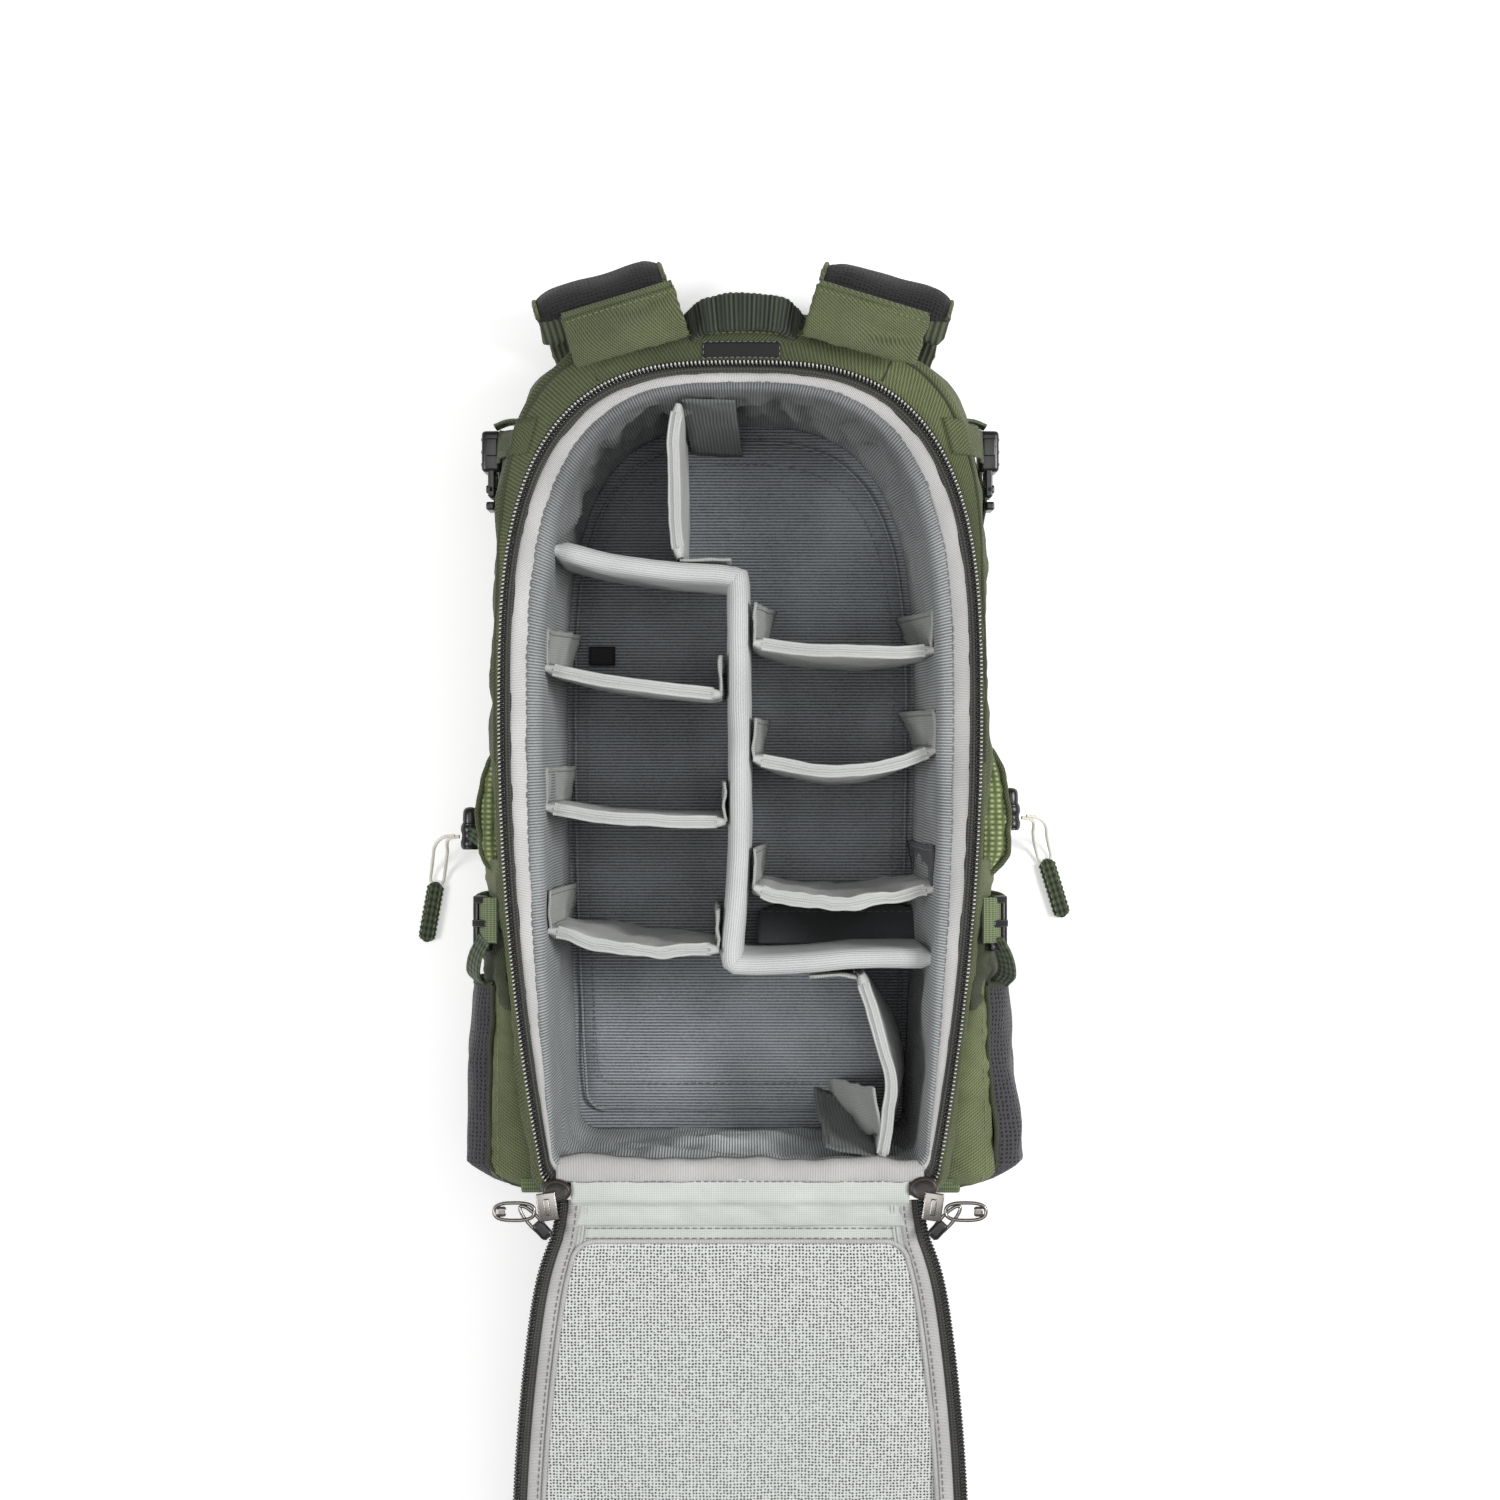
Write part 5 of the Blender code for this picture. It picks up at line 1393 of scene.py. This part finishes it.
def build_lower_webbing(side, tag):
    """The side strap over the pocket's mouth, with its adjuster and free tail."""
    y = -0.093
    wall = side_width(y) + 0.0012
    plan = [(wall + 0.002, 0.148), (wall + 0.009, 0.144), (0.145, 0.130), (0.147, 0.105), (0.146, 0.070),
            (0.140, 0.044), (wall + 0.0022, 0.030)]
    path = smooth_path([(side * x, y, z) for x, z in plan], 0.0012)
    webbing(f"lower_strap_{tag}", path, 0.0250, 0.0018, (0, 1, 0), replaces=[f"lower_webbing_{tag}"])
    lean = Matrix.Rotation(side * math.radians(38), 4, "Y")
    ladder_lock(f"lower_adjuster_{tag}", (side * 0.1410, y - 0.002, 0.1405), 0.011, 0.030, 0.005, lean)
    tail = smooth_path([(side * 0.1400, y - 0.010, 0.1440), (side * 0.1450, y - 0.020, 0.1400),
                        (side * 0.1470, y - 0.030, 0.1300), (side * 0.1440, y - 0.036, 0.1180)], 0.0012)
    sweep(f"lower_tail_{tag}", tail, flat_section(0.0110, 0.0018), BRAID,
          across=unit(np.array([0.6, side * 0.2, 0.7])))


def side_fold(name, side, start, stop, swells, surface, folds, seed):
    """Slack cloth that bellies out of the bag's side between two heights along it."""
    rows = []
    for share in np.linspace(0.0, 1.0, 30):
        y = start + share * (stop - start)
        wall = side_width(y) - 0.001
        swell = float(np.interp(share, np.linspace(0.0, 1.0, len(swells)), swells))
        row = []
        for t in np.linspace(0.0, 1.0, 24):
            angle = math.pi * t
            row.append((side * (wall + swell * math.sin(angle) ** 0.6), y,
                        0.1440 - 0.105 * t - 0.003 * math.sin(angle)))
        rows.append(row)
    rows = crumple(np.array(rows), 0.016, folds, seed, (side, 0, 0.4), stretch=(1, 0.6, 1.2))
    grid_piece(name, rows, surface, thickness=0.0012)


def build_gusset(side, tag):
    """The soft sides between the net panel, the lower webbing and the pocket's mouth."""
    side_fold(f"side_gusset_{tag}", side, -0.0990, -0.1420, [0.006, 0.019, 0.018, 0.015, 0.014], OLIVE_DARK,
              0.0022, 81)
    side_fold(f"side_panel_{tag}", side, -0.0600, -0.0990, [0.012, 0.012, 0.010, 0.006], OLIVE_PANEL, 0.0008,
              84)


def build_side_pocket(side, tag):
    """A stretch mesh pocket bound to a cloth panel along the back edge of the bag's side."""
    def spans(y):
        share = (-0.1335 - y) / (0.2450 - 0.1335)
        if side < 0:
            return side_width(y) + 0.0016, 0.136 + 0.0030 * share, 0.1485 + 0.0050 * share
        return side_width(y) + 0.0016, 0.136 + 0.0060 * share, 0.149 + 0.011 * share

    rows = []
    ys = np.append(np.linspace(-0.1300, -0.2411, 52), -0.2414)
    for y in ys:
        wall, seam, reach = spans(y)
        pinch = min(1.0, max(0.0, (y + 0.2414) / 0.013)) ** 0.40
        section = [(seam + 0.0005, 0.1265), (reach - 0.003, 0.118), (reach, 0.100), (reach, 0.070),
                   (reach - 0.005, 0.048), ((wall + reach) / 2, 0.035), (wall, 0.030)]
        spaced = resample(smooth_path([(x, z, 0.0) for x, z in section], 0.002), 44)
        x = wall + (spaced[:, 0] - wall) * pinch
        rows.append(np.column_stack([side * x, np.full(44, y), spaced[:, 1]]))
    rows = np.array(rows)
    rows = crumple(rows, 0.030, 0.0016, 91, (side, 0, 0), stretch=(1, 1.5, 1))
    net = grid_piece(f"pocket_net_{tag}", rows, MESH, thickness=0.0016,
                     replaces=[f"pocket_mesh_{tag}"])
    cut_from(rows)
    pipe(f"pocket_mouth_{tag}", rows[0], 0.0019, OLIVE_DARK)
    seam_line = rows[:, 0] + (0, 0, 0.0008)
    pipe(f"pocket_seam_{tag}", seam_line, 0.0014, OLIVE_DARK)
    panel = []
    for y in np.linspace(-0.1180, -0.2395, 60):
        wall, seam, reach = spans(min(y, -0.1300))
        seam = wall + (seam - wall) * min(1.0, max(0.0, (y + 0.2408) / 0.007)) ** 0.35
        crown = 0.0028
        row = []
        for t in np.linspace(-0.12, 1.0, 16):
            x = wall - 0.0016 + (seam + 0.0004 - wall) * t
            row.append((side * x, y, 0.1322 - 0.0045 * max(t, 0.0) + crown * math.sin(math.pi * max(t, 0.0))))
        panel.append(row)
    panel = crumple(np.array(panel), 0.018, 0.0016, 92, (0, 0, 1), stretch=(1.5, 0.6, 1))
    grid_piece(f"pocket_cloth_{tag}", panel, OLIVE_PANEL, thickness=0.0014, replaces=[f"pocket_panel_{tag}"])
    stitches(f"pocket_stitches_{tag}", panel[2:-2, -3] + (0, 0, 0.0009), pitch=0.0052, radius=0.00045)
    end = panel[-1]
    tabs = smooth_path([tuple(end[5] + (0, 0.004, 0.001)), tuple(end[5] + (0, -0.003, -0.001)),
                        tuple(end[5] + (0, -0.004, -0.012))], 0.001)
    sweep(f"pocket_tab_{tag}", tabs, flat_section(0.0150, 0.0020), WEBBING, across=(1, 0, 0))


# ---------------------------------------------------------------- back panel

def panel_ring(offset, start):
    """The closed panel's outline, moved outwards by the offset, starting past the hinge."""
    return outline(RIM_HALF + offset, RIM_TOP + offset, HINGE.y + start, OUTER_TAPER, RIM_POWER)


def shrink(ring, share, centre=(0.0, -0.02)):
    """The outline drawn in towards a centre."""
    return ring * share + np.array(centre) * (1.0 - share)


def c_run(ring):
    """An outline's arch and two sides, without its base: the sides run straight on to the hinge."""
    run = np.concatenate([ring[COUNT - SIDE_END:], ring[:SIDE_END + 1]])
    ends = []
    for point in (run[0], run[-1]):
        end = np.repeat(point[None], 8, axis=0)
        end[:, 1] = np.linspace(HINGE.y + 0.0015, point[1], 9)[:-1]
        ends.append(end)
    return np.concatenate([ends[0], run, ends[1][::-1]])


def panel_sway(rows):
    """The slow hollows that all the layers of the panel's inner face share."""
    return crumple(np.array(rows), 0.060, 0.0009, 101, (0, 0, 1))


def build_panel():
    """The folded-down back panel: lining, binding, tape, coil, net pocket and outer cloth."""
    edge = panel_ring(-0.0100, 0.0040)
    rows = [at_height(panel_ring(-0.0096, 0.0036), 0.1548)]
    for share, z in [(1.0, 0.1540), (0.985, 0.1535), (0.96, 0.1534), (0.92, 0.1534), (0.86, 0.1534),
                     (0.76, 0.1533), (0.64, 0.1532), (0.5, 0.1532), (0.36, 0.1532), (0.2, 0.1532)]:
        rows.append(at_height(shrink(edge, share), z))
    rows = panel_sway(rows)
    grid_piece("panel_lining_cloth", opened(rows), PANEL_CLOTH, plan=rows, closed=True, caps="last",
               body="panel", thickness=0.0010)
    binding = [at_height(c_run(panel_ring(offset, 0.0060)), z) for offset, z in
               [(-0.0092, 0.1536), (-0.0100, 0.1526), (-0.0125, 0.1521), (-0.0160, 0.1522),
                (-0.0176, 0.1530)]]
    grid_piece("panel_binding_cloth", opened(binding), BINDING, body="panel", thickness=0.0008)
    stitches("panel_binding_stitches", opened(at_height(c_run(panel_ring(-0.0150, 0.0080)), 0.1516)),
             GREY_THREAD, body="panel", slot="binding")
    tape = [at_height(c_run(panel_ring(offset, 0.0060)), z) for offset, z in
            [(-0.0018, 0.1540), (-0.0050, 0.1537), (-0.0100, 0.1533)]]
    grid_piece("panel_tape_cloth", opened(tape), TAPE, body="panel", thickness=0.0006,
               replaces=["panel_zip_tape"])
    zip_teeth("panel_coil", opened(at_height(c_run(panel_ring(-0.0030, 0.0050)), 0.1530)), 0.0040,
              body="panel", replaces=["panel_zip_teeth"])
    net_edge = outline(RIM_HALF - 0.0185, 0.150, HINGE.y + 0.0255, OUTER_TAPER, RIM_POWER)
    net = [at_height(shrink(net_edge, share), z) for share, z in
           [(1.0, 0.1530), (0.985, 0.1522), (0.95, 0.1520), (0.85, 0.1519), (0.7, 0.1518), (0.5, 0.1518),
            (0.25, 0.1518)]]
    net = panel_sway(net)
    grid_piece("panel_net_pocket", opened(net), NET, plan=net, closed=True, caps="last", body="panel",
               thickness=0.0008, replaces=["panel_mesh_pocket"])
    pipe("panel_net_binding", opened(at_height(net_edge, 0.1518)), 0.0013, BINDING, closed=True, body="panel")
    for index, distance in enumerate((0.0180, 0.0240)):
        row = np.column_stack([np.linspace(-0.086, 0.086, 60), np.full(60, HINGE.y + distance),
                               np.full(60, 0.1524)])
        stitches(f"panel_hem_stitches_{index}", opened(row), GREY_THREAD, pitch=0.0040, body="panel",
                 slot="pale_fabric")
    for index, inset in enumerate((-0.0205, -0.0228)):
        run = c_run(panel_ring(inset, 0.0060))
        pipe(f"panel_seam_piping_{index}", opened(panel_sway([at_height(run, 0.1528)])[0]), 0.0008,
             PANEL_CLOTH, body="panel")
    back = [at_height(panel_ring(-0.0096, 0.0036), 0.1548)]
    for offset, z in [(-0.0074, 0.1556), (-0.0066, 0.1570), (-0.0080, 0.1584), (-0.0120, 0.1590)]:
        back.append(at_height(panel_ring(offset, 0.0060), z))
    for share in (0.92, 0.75, 0.5, 0.25):
        back.append(at_height(shrink(panel_ring(-0.0120, 0.0060), share), 0.1592))
    back = crumple(np.array(back), 0.05, 0.0008, 104, (0, 0, 1))
    grid_piece("panel_back_cloth", opened(back), OLIVE, plan=back, closed=True, caps="last", body="panel",
               replaces=["panel_core"])
    pipe("panel_edge_piping", opened(at_height(panel_ring(-0.0066, 0.0060), 0.1586)), 0.0014, OLIVE_DARK,
         closed=True, body="panel")


def back_pad():
    """The padded back that rests on the wearer, before it is inflated."""
    ring = outline(RIM_HALF - 0.0165, RIM_TOP - 0.0165, HINGE.y + 0.0300, OUTER_TAPER, RIM_POWER)
    rows = []
    for share, z in [(0.3, 0.1600), (0.7, 0.1600), (0.95, 0.1602), (1.0, 0.1625), (1.0, 0.1680),
                     (0.97, 0.1715), (0.9, 0.1730), (0.6, 0.1740), (0.3, 0.1740)]:
        rows.append(at_height(shrink(ring, share), z))
    return grid_piece("back_pad", opened(rows), MESH, closed=True, caps=True, body="panel",
                      replaces=["panel_pad"])


def pad_channels(points):
    """Where the back pad is sewn down: its rim, a channel along its middle and two across."""
    turn = np.array(Matrix.Rotation(-OPEN_ANGLE, 3, "X"))
    flat = (points - np.array(HINGE)) @ turn.T + np.array(HINGE)
    low = flat[:, 2] < 0.1640
    middle = np.abs(flat[:, 0]) < 0.012
    across = (np.abs(flat[:, 1] - 0.06) < 0.009) | (np.abs(flat[:, 1] + 0.09) < 0.009)
    return (low | middle | across).astype(float)


def build_hinge_strip():
    """The cloth that joins the bag's base to the panel, and folds where the panel turns."""
    half = 0.092
    folded = opened([(0, HINGE.y + 0.0050, 0.1528), (0, HINGE.y + 0.0120, 0.1524),
                     (0, HINGE.y + 0.0165, 0.1526)])
    line = [(0, -0.2290, 0.1505), (0, -0.2310, 0.1536), (0, -0.2350, 0.1543), (0, -0.2400, 0.1546),
            (0, -0.2450, 0.1545)] + [tuple(point) for point in folded]
    line = smooth_path(line, 0.0011)
    rows = []
    for x in np.linspace(-half, half, 90):
        rows.append(line + (x, 0, 0))
    rows = crumple(np.array(rows), 0.018, 0.0006, 111, (0, 0, 1), stretch=(1.0, 0.5, 1))
    strip = grid_piece("hinge_cloth", rows, PANEL_CLOTH, body=None, thickness=0.0010)
    cut_from(rows)
    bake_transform(strip)
    seam = np.array([(x, -0.2345, 0.1551) for x in np.linspace(-half, half, 60)])
    stitches("hinge_seam_stitches", seam, GREY_THREAD, pitch=0.0040, slot="pale_fabric")
    cover = []
    for y, z in [(-0.2225, 0.1470), (-0.2232, 0.1505), (-0.2245, 0.1532), (-0.2270, 0.1545),
                 (-0.2300, 0.1549), (-0.2335, 0.1551), (-0.2350, 0.1540)]:
        cover.append([(x, y, z) for x in np.linspace(-0.1000, 0.1000, 100)])
    cover = np.array(cover)
    cover[:4] = crumple(cover[:4], 0.040, 0.0022, 113, (0, 1, 0.1))
    cover = crumple(cover, 0.014, 0.0007, 112, (0, 0, 1))
    grid_piece("base_binding", cover, BINDING, thickness=0.0010)


def dome(name, place, half_x, half_y, rise, angle, surface, **rest):
    """A low oval boss with a rolled rim and a shallow dish in its top."""
    turns = np.linspace(0.0, 2 * math.pi, 40, endpoint=False)
    oval = np.stack([np.cos(turns) * half_x, np.sin(turns) * half_y], axis=1)
    turn = np.array([[math.cos(angle), math.sin(angle)], [-math.sin(angle), math.cos(angle)]])
    rows = []
    for share, z in [(0.90, 0.0), (1.0, 0.25), (1.0, 0.55), (0.94, 0.82), (0.86, 0.95), (0.76, 1.0),
                     (0.68, 0.94), (0.5, 0.88), (0.3, 0.86), (0.1, 0.86)]:
        rows.append(at_height(oval @ turn * share + np.array(place[:2]), place[2] + rise * (z - 0.4)))
    return grid_piece(name, rows, surface, closed=True, caps=True, **rest)


def build_slider(side, tag):
    """A zip slider under its hood, with the wire pull and the ring and grip beside it."""
    body = f"slider_{tag}"
    middle, _ = middle_and_size(body)
    turn = Matrix.Rotation(-side * math.atan2(0.0212, 0.1475), 4, "Z")

    def part(name, size, shift, bevel):
        place = middle + turn @ Vector(shift)
        return block(f"{body}_{name}", size, place, NICKEL, bevel, turn, body=body)

    parts = [
        part("plate", (0.0100, 0.0150, 0.0012), (0, 0, 0.0012), 0.0005),
        part("base", (0.0105, 0.0150, 0.0012), (0, 0, -0.0016), 0.0005),
        part("post", (0.0022, 0.0060, 0.0030), (0, 0.0035, 0), 0.0004),
        part("lip_a", (0.0012, 0.0130, 0.0022), (0.0047, 0, 0.0004), 0.0005),
        part("lip_b", (0.0012, 0.0130, 0.0022), (-0.0047, 0, 0.0004), 0.0005),
        part("bridge", (0.0032, 0.0090, 0.0014), (0, 0, 0.0030), 0.0006),
    ]
    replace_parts(join(f"slider_body_{tag}", parts), f"slider_{tag}")
    middle, size = middle_and_size(f"pull_{tag}")
    half = size / 2
    angles = np.linspace(0.0, 2 * math.pi, 48, endpoint=False)
    ring = np.stack([middle.x + (half.x - 0.0009) * np.sign(np.cos(angles)) * np.abs(np.cos(angles)) ** 0.7,
                     middle.y + (half.y - 0.0009) * np.sign(np.sin(angles)) * np.abs(np.sin(angles)) ** 0.8,
                     np.full(48, middle.z)], axis=1)
    pipe(f"pull_wire_{tag}", ring, 0.0010, NICKEL, closed=True, body=f"pull_{tag}",
         replaces=[f"pull_{tag}"])
    sleeve = np.array([(middle.x + side * x, middle.y, middle.z) for x in np.linspace(0.0045, 0.0095, 9)])
    sweep(f"pull_sleeve_{tag}", sleeve, flat_section(0.0056, 0.0028), NICKEL, across=(0, 1, 0),
          body=f"pull_{tag}", scale=[0.7, 0.95, 1, 1, 1, 1, 1, 0.95, 0.7])
    dome(f"slider_hood_{tag}", (side * 0.0995, -0.2392 if side < 0 else -0.2378, 0.1560), 0.0080, 0.0062,
         0.0042, math.radians(8) * side, CAPS, body=body)
    swing = np.array([-side * 0.0154, -0.0165, 0.0])
    swing /= np.linalg.norm(swing)
    beside = np.array([-swing[1], swing[0], 0.0])
    centre = np.array([side * 0.1115, -0.2555, 0.1600])
    ring = centre + swing * (0.0110 * np.cos(angles))[:, None] + beside * (0.0030 * np.sin(angles))[:, None]
    pipe(f"pull_ring_{tag}", ring, 0.0010, NICKEL, closed=True, body=f"pull_{tag}")
    grip = centre + swing * np.linspace(0.0010, 0.0118, 12)[:, None]
    sweep(f"pull_grip_{tag}", grip, flat_section(0.0072, 0.0034), BLACK, across=beside, body=f"pull_{tag}",
          scale=[0.6, 0.9] + [1.0] * 8 + [0.9, 0.6])


# ---------------------------------------------------------------- small pieces

def build_patches():
    """The blank woven patches and the flat card pocket in the small compartment."""
    rows = []
    for y in np.linspace(-0.0043, 0.0043, 7):
        rows.append([(0.0008 + x, 0.2178 + y - 0.9 * x * x, 0.1543) for x in np.linspace(-0.021, 0.021, 24)])
    rows = crumple(np.array(rows), 0.02, 0.0003, 121, (0, 0, 1))
    grid_piece("top_patch", rows, PATCH, thickness=0.0008)
    border = np.concatenate([rows[0], rows[1:-1, -1], rows[-1][::-1], rows[1:-1, 0][::-1]])
    stitches("top_patch_stitches", border * (0.985, 1, 1) + (0, 0, 0.0006), GREY_THREAD, pitch=0.0030,
             closed=True, radius=0.00025, slot="black_plastic")
    rows = [[(-0.0880 + x, 0.0600 + y, 0.0340 + 0.10 * (0.015 - x)) for x in np.linspace(0, 0.0150, 8)]
            for y in np.linspace(-0.011, 0.0, 6)]
    grid_piece("inner_patch", rows, PATCH, thickness=0.0006)
    rows = []
    for y in np.linspace(0.0, 1.0, 12):
        inset = 0.010 * max(0.0, 1.0 - y * 4)
        rows.append([(0.0100 + inset + x * (0.094 - 2 * inset), -0.0900 - y * 0.0200, 0.0350 + 0.030 * y)
                     for x in np.linspace(0.0, 1.0, 40)])
    rows = crumple(np.array(rows), 0.02, 0.0006, 122, (0, 0, 1))
    grid_piece("card_pocket", rows, HOOKS, slot="slate_lining", thickness=0.0016)
    stitches("card_pocket_stitches", rows[2] + (0, 0, 0.0012), GREY_THREAD, slot="slate_lining")


for tag in SIDES:
    build_cord(tag)
build_shell()
pocket_pad("front_pocket", 0.0006)
pocket_pad("stash_pocket", 0.0010)
build_rim()
build_lining()
build_dividers()
build_end_tabs()
build_handle()
build_panel()
build_hinge_strip()
build_patches()
for tag, side in SIDES.items():
    build_buckle(side, tag)
    build_side_mesh(side, tag)
    build_cord_lock(side, tag)
    build_lower_webbing(side, tag)
    build_gusset(side, tag)
    build_side_pocket(side, tag)
    build_slider(side, tag)
    build_strap_webbing(side, tag)

straps = {tag: strap_parts(side, tag) for tag, side in SIDES.items()}
pads = [(back_pad(), 0.0055, 0.007, pad_channels)]
for pad, cover, strap, flap in straps.values():
    pads.append((pad, 0.0036, 0.0032, near_edge(*strap, 0.006)))
    middle, side_way = flap
    flap_width = np.full(len(middle), COVER_WIDTH)
    pads.append((cover, 0.0017, 0.0016, near_edge(middle, np.broadcast_to(side_way, middle.shape),
                                                  flap_width, 0.004)))
inflate(pads)
for tag, (pad, cover, strap, flap) in straps.items():
    dress_strap(tag, pad, cover, strap, flap)

# ---------------------------------------------------------------- floor and finish

bpy.ops.mesh.primitive_plane_add(size=9.0, location=(0.0, 0.0, -0.0004))
studio_floor = bpy.context.object
studio_floor.name = "studio_floor"
studio_floor.data.materials.append(STUDIO)
